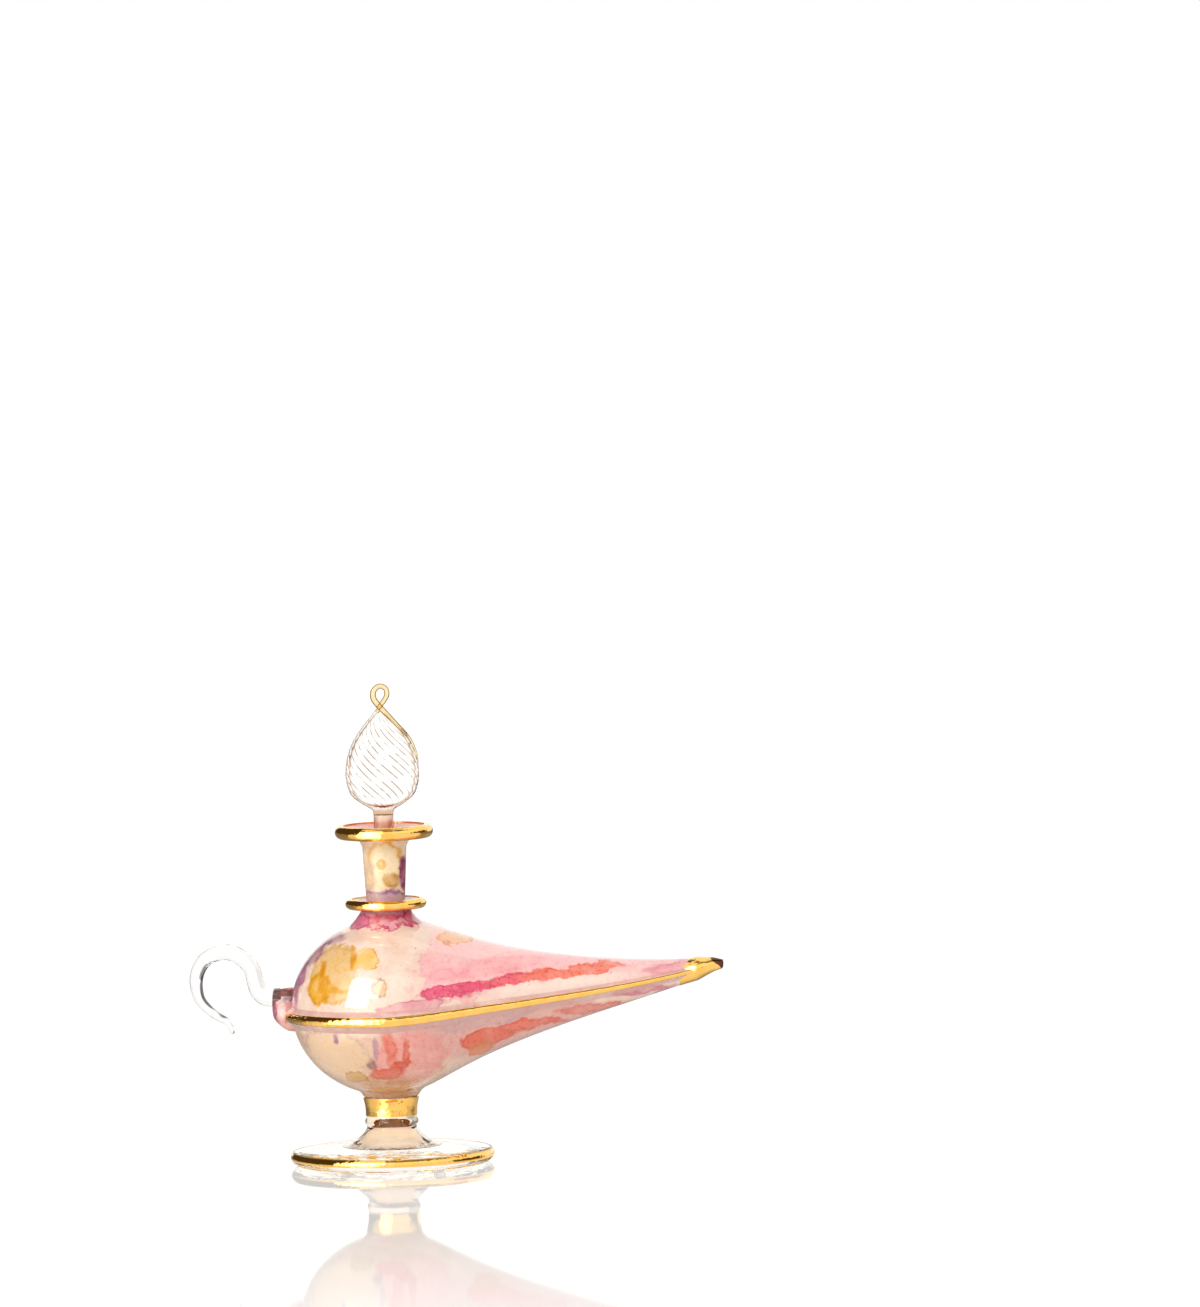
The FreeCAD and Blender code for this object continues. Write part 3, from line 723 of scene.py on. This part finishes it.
# trails along the sides: a bell-shaped section at the waist of the bowl, its glass a little deeper in tone
trailInksAndShade = bowlInksAndShade + [(24.0, None, 37.4, 62.0, 9.0, "D0A198", "B87C84", 0.68, 0.1, 0.2)]
trailPaintAndShade = inkedGlass("trailPaintAndShade", *bowlGround, trailInksAndShade, bowlFront, lean=spoutLean)
trailShape = {"out": 1.7, "halfHeight": 3.7, "drop": 1.5, "root": 0.93, "taper": 0.36, "film": 0.25,
              "filmShare": 0.33}


def trailPath(first, last, count, swell=0.0):
    spots = []
    for i in range(count + 1):
        place = first + (last - first) * i / count
        x, half, z = bowlStation(place)
        share = max(0.0, x / bowlShape["reach"])
        girth = 1 - (1 - trailShape["taper"]) * share
        girth *= 1 + swell * math.sin(2.3 * i) * math.sin(0.61 * i + 1.0)  # drawn by hand, never quite even
        spots.append((x, -bowlWide(half), z - trailShape["drop"] * (1 - share * share), girth))
    return spots


def bell(s):
    t = trailShape
    return (t["out"] + t["root"]) * (1 - s * s) ** 2 - t["root"]


def mirrored(piece, name):
    # the same piece on the far side
    pickOnly(piece)
    bpy.ops.object.duplicate()
    twin = bpy.context.object
    twin.name = name
    editAll()
    bpy.ops.transform.resize(value=(1, -1, 1), center_override=(0, 0, 0))
    bpy.ops.mesh.normals_make_consistent(inside=False)
    doneEditing()
    return twin


def buildTrails():
    t = trailShape
    tall = t["halfHeight"]
    glassSection = [(bell(s / 10), tall * s / 10) for s in range(-10, 11)]
    right = sweepLine("ribRight", trailPath(-1.0, 1.0, 150), section=glassSection)
    left = mirrored(right, "ribLeft")
    finishPiece(right, trailPaintAndShade, "bottle", "rib_right")
    finishPiece(left, trailPaintAndShade, "bottle", "rib_left")
    shares = [t["filmShare"] * k / 8 for k in range(-8, 9)]
    top = [(bell(s) + t["film"] * (1 - 0.35 * (s / t["filmShare"]) ** 4), tall * s) for s in shares]
    under = [(bell(s) - 0.15, tall * s * 0.96) for s in reversed(shares)]
    lineRight = sweepLine("ribGildingRight", trailPath(-0.9, 0.995, 150, swell=0.02), section=top + under)
    lineLeft = mirrored(lineRight, "ribGildingLeft")
    finishPiece(lineRight, gold, "bottle", "rib_gilding_right")
    finishPiece(lineLeft, gold, "bottle", "rib_gilding_left")


buildTrails()

# gold on the tip: rows where it starts on the spout, rows of (share of the length, half height, lift), then
# the blunt end; the last millimetres turn dark brown, cut off on a slope
tipShape = {
    "start": [(0.975, 0.0), (0.985, 0.4), (0.993, 0.8), (1.0, 1.0)],
    "run": [(0.3, 2.3, 0.4), (0.6, 1.85, 0.86), (0.85, 1.42, 1.0), (1.0, 1.18, 1.0)],
    "end": [(0.2, 0.94), (0.36, 0.78), (0.46, 0.5)],
    "darkEnd": 1.5, "slope": 0.8,
}


def buildTip():
    # sealed, upturned end of the spout
    b, film = bowlShape, trailShape["film"]
    tipX, tipHalf, tipZ = bowlStation(1.0)
    side = trailShape["out"] * trailShape["taper"] + 1.5 * film
    spots = []
    for place, grown in tipShape["start"]:
        x, half, z = bowlStation(place)
        spots.append((x, z - 0.3 * (1 - grown), bowlWide(half) + side * grown - 0.1 * (1 - grown),
                      half + film * grown - 0.25 * (1 - grown)))
    sideLeft = spots[-1][2] - tipHalf
    for share, left, lift in tipShape["run"]:
        wide = left + sideLeft * (1 - share) ** 1.6
        spots.append((tipX + b["tipLength"] * share, tipZ + b["tipCurl"] * lift, wide, left))
    sections = smoothRun(spots, 5)
    endX, endZ, wide, left = sections[-1]
    for step, shrink in tipShape["end"]:
        sections.append((endX + step, endZ + 0.4 * step, shrink * wide, shrink * left))
    sections.append((endX + 0.49, endZ + 0.2, 0, 0))
    tip = drawOut("tipGilding", [(sections[0][0], sections[0][1], 0, 0)] + sections)
    slope = tipShape["slope"]
    tipGold = brightGold("tipGold", endX - tipShape["darkEnd"] + slope * endZ, slope)
    finishPiece(tip, tipGold, "bottle", "tip_gilding")


buildTip()

lugInksAndHighlights = [
    (-26.0, None, 42.0, 4.0, 1.5, "6E3630", "46201C", 0.9, 0.5, 0.3),
    (-28.4, None, 37.0, 1.1, 3.6, "A65474", "84304E", 0.75, 0.6, 0.3),
    # painted highlights: the two pale pools on the front of the lug
    (-26.2, None, 37.6, 1.1, 1.9, "F0D2C8", "C8928C", 0.85, 0.5, 0.4),
    (-25.6, None, 33.8, 2.2, 1.6, "E6BEB0", "BC7C80", 0.85, 0.6, 0.3),
]
lugPaintAndHighlights = inkedGlass("lugPaintAndHighlights", "C48E82", "A4686A", lugInksAndHighlights, lambda x, z: -3.0,
                      drift=(1.2, 1.6), torn=1.2, coat=0.6, sheen=0.0)

# handle: a pinched lug on the back of the bowl and the hooked rod that grows out of it
handleShape = {"lugLength": 4.6, "lugTall": 5.4, "lugWide": 3.0, "hook": 7.4, "rod": 2.0, "reflectionReach": 6.3}
lugLine = [(-0.7, 1.0, 0.0), (0.0, 1.0, 0.0), (0.35, 0.93, 0.2), (0.7, 0.78, 0.7), (0.9, 0.62, 1.0),
           (0.97, 0.48, 1.1), (1.0, 0.3, 1.15)]
hookLine = [(1.8, -0.48), (1.52, -0.48), (1.28, -0.44), (1.08, -0.26), (0.97, 0.06), (0.85, 0.52), (0.42, 0.94),
            (-0.05, 1.06), (-0.56, 0.9), (-0.86, 0.55), (-0.975, 0.08), (-0.885, -0.44), (-0.62, -0.8),
            (-0.3, -1.06), (-0.02, -1.22), (0.13, -1.42), (0.18, -1.58)]
hookGirth = [1.12, 1.12, 1.1, 1.06, 1.02, 1.0, 0.98, 0.95, 0.9, 0.86, 0.8, 0.68, 0.58, 0.5, 0.44, 0.37, 0.28]


def roundEnd(spots, thickness):
    # a few more points so that a rod ends in a dome
    before, tip, girth = spots[-2][:3], spots[-1][:3], spots[-1][3]
    length = math.dist(before, tip)
    run = [(b - a) / length for a, b in zip(before, tip)]
    ends = []
    for a in (25, 50, 70, 85):
        step = girth * thickness * math.sin(math.radians(a))
        ends.append(tuple(c + step * r for c, r in zip(tip, run)) + (girth * math.cos(math.radians(a)),))
    return spots + ends


def buildHandle():
    h = handleShape
    back, middle = bowlShape["back"], bowlShape["middle"]
    sections = [(-back - h["lugLength"] * share, middle + lift, h["lugWide"] * grow, h["lugTall"] * grow)
                for share, grow, lift in smoothRun(lugLine, 5)]
    first, last = (sections[0][0], middle, 0, 0), (sections[-1][0] - 0.02, sections[-1][1], 0, 0)
    lug = drawOut("handleLug", [first] + sections + [last])
    finishPiece(lug, lugPaintAndHighlights, "bottle", "handle_lug")
    hookX = -back - h["lugLength"] - 1.52 * h["hook"]
    hookZ = middle + 0.89 * h["hook"]
    spots = [(hookX + h["hook"] * a, 0.0, hookZ + h["hook"] * b, girth)
             for (a, b), girth in zip(hookLine, hookGirth)]
    hook = sweepLine("handleHook", roundEnd(smoothRun(spots, 8), h["rod"]), thickness=h["rod"])
    # the hook's dark inner line is a painted reflection; its warm edges are partly painted reflection
    hookGlass = clearGlass("hookGlass", "FDFBF8", edge=("E4D8C6", 0.5),
                           darkReflection=("2E2C36", hookX, hookZ, h["reflectionReach"]))
    finishPiece(hook, hookGlass, "bottle", "handle_hook")


buildHandle()
print("trails, gold lines, tip and handle built")

# stopper: hollow fluted flame, drawn loop, ground plug and dipper
flameShape = {"radius": 9.0, "height": 26.6, "foot": 85.3, "wall": 0.8, "flutes": 24, "dip": 0.014, "twist": -195}
flameLine = [(0.27, 0.0), (0.31, 0.05), (0.57, 0.105), (0.84, 0.18), (0.955, 0.27), (1.0, 0.39), (0.94, 0.54),
             (0.78, 0.68), (0.52, 0.81), (0.27, 0.91), (0.13, 0.97), (0.0, 1.0)]


def fluteGlass(name):
    # clear glass with a painted refraction: a broken amber line in the bottom of each flute on the near side, where
    # the ribs would bend the dark room into view
    f = flameShape
    material, tree, shader, position = startMaterial(name)
    setShader(shader, Roughness=0.0, IOR=1.05, Transmission_Weight=1.0)
    x, y, z = splitUp(tree, position)
    level = calc(tree, "DIVIDE", calc(tree, "SUBTRACT", z, f["foot"]), f["height"])
    outline = addNode(tree, "FloatCurve", {"Value": level})
    points = outline.mapping.curves[0].points
    points[0].location = flameLine[0][::-1]
    points[1].location = flameLine[-1][::-1]
    for radius, height in flameLine[1:-1]:
        points.new(height, radius)
    outline.mapping.update()
    spread = lengthOf(tree, addNode(tree, "CombineXYZ", {0: x, 1: y}).outputs[0])
    inset = calc(tree, "SUBTRACT", calc(tree, "MULTIPLY", outline.outputs[0], f["radius"]), spread)
    around = calc(tree, "ARCTAN2", y, x)
    twisted = calc(tree, "MULTIPLY", z, math.radians(f["twist"]) / f["height"])
    turns = calc(tree, "MULTIPLY", calc(tree, "SUBTRACT", around, twisted), f["flutes"] / (2 * math.pi))
    gap = calc(tree, "ABSOLUTE", calc(tree, "SUBTRACT", turns, calc(tree, "ROUND", turns)))
    broken = ramp(tree, noiseAt(tree, position, 0.42, 2.0)["Fac"], 0.36, 0.56, 0.1, 1.0)
    paintedRefraction = calc(tree, "MULTIPLY", ramp(tree, gap, 0.12, 0.04), broken)
    backfacing = addNode(tree, "NewGeometry").outputs["Backfacing"]
    outside = calc(tree, "SUBTRACT", ramp(tree, inset, 0.55, 0.4), backfacing)
    paintedRefraction = calc(tree, "MULTIPLY", paintedRefraction, calc(tree, "MAXIMUM", outside, 0.0))
    root = blendColour(tree, ramp(tree, level, 0.075, 0.03), colour("FFFEFC"), colour("E3BE9C"))
    # warm edges: partly the tone of thicker glass, partly painted reflection
    clear = thickEdgeAndReflection(tree, root, "A8640E", 0.58, 0.9)
    tree.links.new(blendColour(tree, paintedRefraction, clear, colour("7C5426")), shader.inputs["Base Color"])
    addRipple(tree, shader, position, 0.22, 0.02)
    return material


def buildFlame():
    f = flameShape
    spots = [(f["radius"] * r, f["foot"] + f["height"] * z) for r, z in flameLine]
    outline = smoothRun(spots, 7)
    perFlute = 6
    flame = turnPiece("stopperFinial", [(0, f["foot"])] + outline, f["flutes"] * perFlute)
    pickOnly(flame)
    bpy.ops.object.mode_set(mode="EDIT")
    bpy.ops.mesh.select_mode(type="VERT")
    for step, dip in ((0, f["dip"]), (1, 0.25 * f["dip"]), (perFlute - 1, 0.25 * f["dip"])):
        bpy.ops.mesh.select_all(action="DESELECT")
        doneEditing()
        turn = 2 * math.pi / (f["flutes"] * perFlute)
        for vertex in flame.data.vertices:
            x, y, z = vertex.co
            which = round(math.atan2(y, x) / turn) % perFlute
            vertex.select = which == step and math.hypot(x, y) > 2.6 * mm
        bpy.ops.object.mode_set(mode="EDIT")
        bpy.ops.transform.resize(value=(1 - dip, 1 - dip, 1), center_override=(0, 0, f["foot"] * mm))
    doneEditing()
    useModifier(flame, "SIMPLE_DEFORM", deform_method="TWIST", deform_axis="Z", angle=math.radians(f["twist"]))
    inner = [(max(0.0, r - f["wall"]), z) for r, z in spots[2:-2]]
    low = [(0, inner[0][1] - 0.9), (0.35 * inner[0][0], inner[0][1] - 0.7)]
    hollow = turnPiece("flameHollow", smoothRun(low + inner + [(0, inner[-1][1] + 2 * f["wall"])], 5))
    pickOnly(hollow)
    editAll()
    bpy.ops.mesh.flip_normals()
    doneEditing()
    pickOnly(flame, hollow)
    bpy.ops.object.join()
    finishPiece(flame, fluteGlass("flameGlass"), "stopper", "stopper_finial")


buildFlame()

loopShape = {"radius": 1.85, "strand": 0.62}
loopLine = [(4.72, 0.4, -9.3, 0.3), (4.5, 0.2, -8.0, 0.5), (3.98, 0.0, -6.6, 0.65), (3.2, -0.25, -5.4, 0.8),
            (2.3, -0.5, -4.4, 0.9), (1.35, -0.62, -3.35, 1.0), (0.45, -0.62, -2.35, 1.1), (-0.35, -0.5, -1.45, 1.18),
            (-0.9, -0.22, -0.6, 1.2), (-0.84, -0.05, 0.36, 1.1), (-0.1, 0.02, 0.95, 1.0), (0.72, 0.06, 0.62, 1.0),
            (0.86, 0.2, -0.25, 1.0), (0.4, 0.42, -1.1, 0.95), (-0.1, 0.5, -1.75, 0.9), (-0.45, 0.35, -2.6, 0.6)]


def buildLoop():
    radius = loopShape["radius"]
    loopZ = flameShape["foot"] + flameShape["height"] + 1.7 * radius
    spots = [(radius * x, radius * y, loopZ + radius * z, girth) for x, y, z, girth in loopLine]
    loop = sweepLine("finialLoop", smoothRun(spots, 8), thickness=loopShape["strand"])
    finishPiece(loop, strandGlass, "stopper", "finial_loop")


buildLoop()

plugShape = {"radius": 2.4, "taper": 0.25, "foot": 68.9, "seat": 81.9, "top": 85.35}
rodShape = {"radius": 1.0, "top": 68.95, "bead": 1.6, "end": 41.9}


def buildPlug():
    p = plugShape
    slim, chamfer = p["radius"] - p["taper"], 0.15
    outline = [(0, p["foot"]), (slim - chamfer, p["foot"]), (slim, p["foot"] + chamfer)]
    outline += smoothRun([(p["radius"], p["seat"]), (p["radius"], p["top"])], 8) + [(0, p["top"])]
    plug = turnPiece("stopperPlug", outline, 64)
    finishPiece(plug, groundGlass, "stopper", "stopper_plug")


def buildRod():
    r = rodShape
    bead = [(r["bead"] * math.sin(math.radians(a)), r["end"] + r["bead"] * (1 - math.cos(math.radians(a))))
            for a in range(0, 136, 9)]
    neck = [(r["radius"] + 0.04, r["end"] + 2 * r["bead"] - 0.25), (r["radius"], r["end"] + 2 * r["bead"] + 0.2)]
    rod = turnPiece("dipperRod", bead + neck + [(r["radius"], r["top"]), (0, r["top"])], 48)
    finishPiece(rod, rodGlass, "stopper", "dipper_rod")


buildPlug()
buildRod()
print("stopper built")

# floor: white glossy sheet that mirrors the foot
floorLook = {
    "level": -0.0003, "size": 14.0, "paper": (0.9, 0.89, 0.87, 1), "glow": 0.88, "farShine": 0.22,
    "mirror": 0.85, "mirrorReach": 0.5, "mirrorTint": (1, 0.975, 0.9, 1), "mirrorBlur": 0.035,
    # the window's glare: its bearing and how it fades sideways in degrees, and how far out it starts in metres
    "glare": 4.5, "glareBearing": -38.0, "glareFade": (32.0, 22.0), "glareStart": (0.06, 0.085),
}


def buildFloor():
    cleanStart()
    bpy.ops.mesh.primitive_plane_add(size=floorLook["size"], location=(0, 0, floorLook["level"]))
    floor = bpy.context.object
    floor.name = "floor"
    bpy.ops.object.transform_apply(location=True)
    material = bpy.data.materials.new("whiteSheet")
    material.use_nodes = True
    tree = material.node_tree
    tree.nodes.remove(tree.nodes["Principled BSDF"])
    path = addNode(tree, "LightPath")
    seen = calc(tree, "MAXIMUM", path.outputs["Is Camera Ray"],
                calc(tree, "MAXIMUM", path.outputs["Is Glossy Ray"], path.outputs["Is Transmission Ray"]))
    position = addNode(tree, "TexCoord").outputs["Object"]
    paper = addNode(tree, "BsdfDiffuse", {"Color": floorLook["paper"]})
    away = lengthOf(tree, position)
    place = splitUp(tree, position)
    mirrored = calc(tree, "SUBTRACT", path.outputs["Is Glossy Ray"], path.outputs["Is Transmission Ray"])
    shaded = calc(tree, "MULTIPLY", mirrored, ramp(tree, place["Y"], -0.03, 0.07))
    shine = ramp(tree, shaded, 0.0, 1.0, 1.08, floorLook["farShine"])
    bearing = calc(tree, "DEGREES", calc(tree, "ARCTAN2", place["X"], calc(tree, "MULTIPLY", place["Y"], -1.0)))
    offWindow = calc(tree, "ABSOLUTE", calc(tree, "SUBTRACT", bearing, floorLook["glareBearing"]))
    glare = ramp(tree, offWindow, *floorLook["glareFade"], 0.0, floorLook["glare"])
    glare = calc(tree, "MULTIPLY", mirrored, glare)
    shine = calc(tree, "ADD", shine, calc(tree, "MULTIPLY", glare, ramp(tree, away, *floorLook["glareStart"])))
    lit = addNode(tree, "Emission", {"Color": (1.0, 0.998, 0.994, 1), "Strength": shine})
    share = calc(tree, "MULTIPLY", seen, ramp(tree, away, 0.1, 0.6, floorLook["glow"], 1.0))
    share = calc(tree, "MAXIMUM", share, path.outputs["Is Transmission Ray"])
    body = addNode(tree, "MixShader", {0: share, 1: paper.outputs[0], 2: lit.outputs[0]})
    mirror = addNode(tree, "BsdfGlossy", {"Color": floorLook["mirrorTint"], "Roughness": floorLook["mirrorBlur"]})
    fresnel = addNode(tree, "Fresnel", {"IOR": 1.45})
    near = ramp(tree, away, floorLook["mirrorReach"], 0.15)
    strength = calc(tree, "MULTIPLY", calc(tree, "MULTIPLY", fresnel.outputs[0], floorLook["mirror"]), near)
    sheet = addNode(tree, "MixShader", {0: strength, 1: body.outputs[0], 2: mirror.outputs[0]})
    tree.links.new(sheet.outputs[0], tree.nodes["Material Output"].inputs["Surface"])
    floor.data.materials.append(material)


buildFloor()

# studio: white behind and overhead, darker sides that the gold and the glass edges pick up
studioPatch, take, give = startGroup(
    "studioPatch", {"Azimuth": "Float", "Elevation": "Float", "Across": "Float", "AcrossHalf": "Float",
                    "Up": "Float", "UpHalf": "Float", "Soft": "Float"}, {"Mask": "Float"})
masks = []
for angle, middle, half in (("Azimuth", "Across", "AcrossHalf"), ("Elevation", "Up", "UpHalf")):
    gap = calc(studioPatch, "ABSOLUTE", calc(studioPatch, "SUBTRACT", take[angle], take[middle]))
    inside = calc(studioPatch, "DIVIDE", calc(studioPatch, "SUBTRACT", take[half], gap), take["Soft"])
    masks.append(ramp(studioPatch, inside, -1.0, 1.0))
studioPatch.links.new(calc(studioPatch, "MULTIPLY", masks[0], masks[1]), give["Mask"])

# (azimuth from the camera side, half width, elevation, half height, softness) and what the gold sees there
darkSide = -116
studioZones = [
    ((-38, 27, 8, 34, 6), (3.0, 2.95, 2.85, 1)),
    ((-37, 13, 23, 17, 1.5), (14.0, 13.8, 13.4, 1)),
    ((darkSide, 48, 28, 36, 4), (0.07, 0.05, 0.025, 1)),
    ((98, 26, 4, 16, 4), (0.08, 0.06, 0.03, 1)),
    ((42, 44, 9, 1.6, 1.2), (0.2, 0.18, 0.14, 1)),
    ((48, 55, 62, 10, 5), (0.25, 0.23, 0.18, 1)),
    ((0, 200, 86, 10, 5), (0.25, 0.22, 0.18, 1)),
]
glassShade = (0.16, 0.15, 0.16, 1)


def buildStudio():
    world = bpy.data.worlds.new("studio")
    bpy.context.scene.world = world
    world.use_nodes = True
    tree = world.node_tree
    background = tree.nodes["Background"]
    x, y, z = splitUp(tree, addNode(tree, "TexCoord").outputs["Generated"])
    azimuth = calc(tree, "DEGREES", calc(tree, "ARCTAN2", x, calc(tree, "MULTIPLY", y, -1.0)))
    elevation = calc(tree, "DEGREES", calc(tree, "ARCSINE", z))
    room = blendColour(tree, ramp(tree, y, -0.25, 0.25), (1.3, 1.27, 1.2, 1), (1.2, 1.2, 1.17, 1))
    throughGlass = (1.0, 1.0, 1.0, 1)
    for (across, acrossHalf, up, upHalf, soft), shade in studioZones:
        patch = placeGroup(tree, studioPatch, Azimuth=azimuth, Elevation=elevation, Across=across,
                           AcrossHalf=acrossHalf, Up=up, UpHalf=upHalf, Soft=soft).outputs[0]
        room = blendColour(tree, patch, room, shade)
        if across == darkSide:
            throughGlass = blendColour(tree, calc(tree, "MULTIPLY", patch, 0.9), throughGlass, glassShade)
    plain = blendColour(tree, ramp(tree, z, -0.4, 0.9), (0.5, 0.49, 0.47, 1), (0.85, 0.85, 0.85, 1))
    path = addNode(tree, "LightPath")
    seen = blendColour(tree, path.outputs["Is Glossy Ray"], plain, room)
    seen = blendColour(tree, path.outputs["Is Transmission Ray"], seen, throughGlass)
    seen = blendColour(tree, path.outputs["Is Camera Ray"], seen, (1, 1, 1, 1))
    tree.links.new(seen, background.inputs["Color"])


buildStudio()

softbox = {"toward": (-0.42, -0.74, 0.52), "distance": 1.2, "wide": 0.78, "tall": 0.55, "power": 8.0,
           "aim": (0.0, 0.0, 0.045)}


def buildSoftbox():
    cleanStart()
    place = [a + softbox["distance"] * t for a, t in zip(softbox["aim"], softbox["toward"])]
    bpy.ops.object.light_add(type="AREA", location=place)
    lamp = bpy.context.object
    lamp.name = "softbox"
    lamp.data.shape = "RECTANGLE"
    lamp.data.size = softbox["wide"]
    lamp.data.size_y = softbox["tall"]
    lamp.data.energy = softbox["power"]
    lamp.visible_camera = False
    lamp.rotation_euler = Vector(softbox["toward"]).to_track_quat("Z", "Y").to_euler()


buildSoftbox()

cameraView = {"place": (0.0539, -2.837, 0.313), "pitch": 3.824, "roll": 1.5, "lens": 321.0, "sensor": 36.0,
              "farthest": 100}


def buildCamera():
    cleanStart()
    bpy.ops.object.camera_add(location=cameraView["place"])
    camera = bpy.context.object
    tilt = Matrix.Rotation(math.radians(90 - cameraView["pitch"]), 4, "X")
    roll = Matrix.Rotation(math.radians(-cameraView["roll"]), 4, "Z")
    camera.rotation_euler = (tilt @ roll).to_euler()
    camera.data.sensor_fit = "VERTICAL"
    camera.data.sensor_height = cameraView["sensor"]
    camera.data.lens = cameraView["lens"]
    camera.data.clip_end = cameraView["farthest"]
    bpy.context.scene.camera = camera


buildCamera()
bpy.context.scene.view_settings.view_transform = "Standard"
print("studio and camera set")
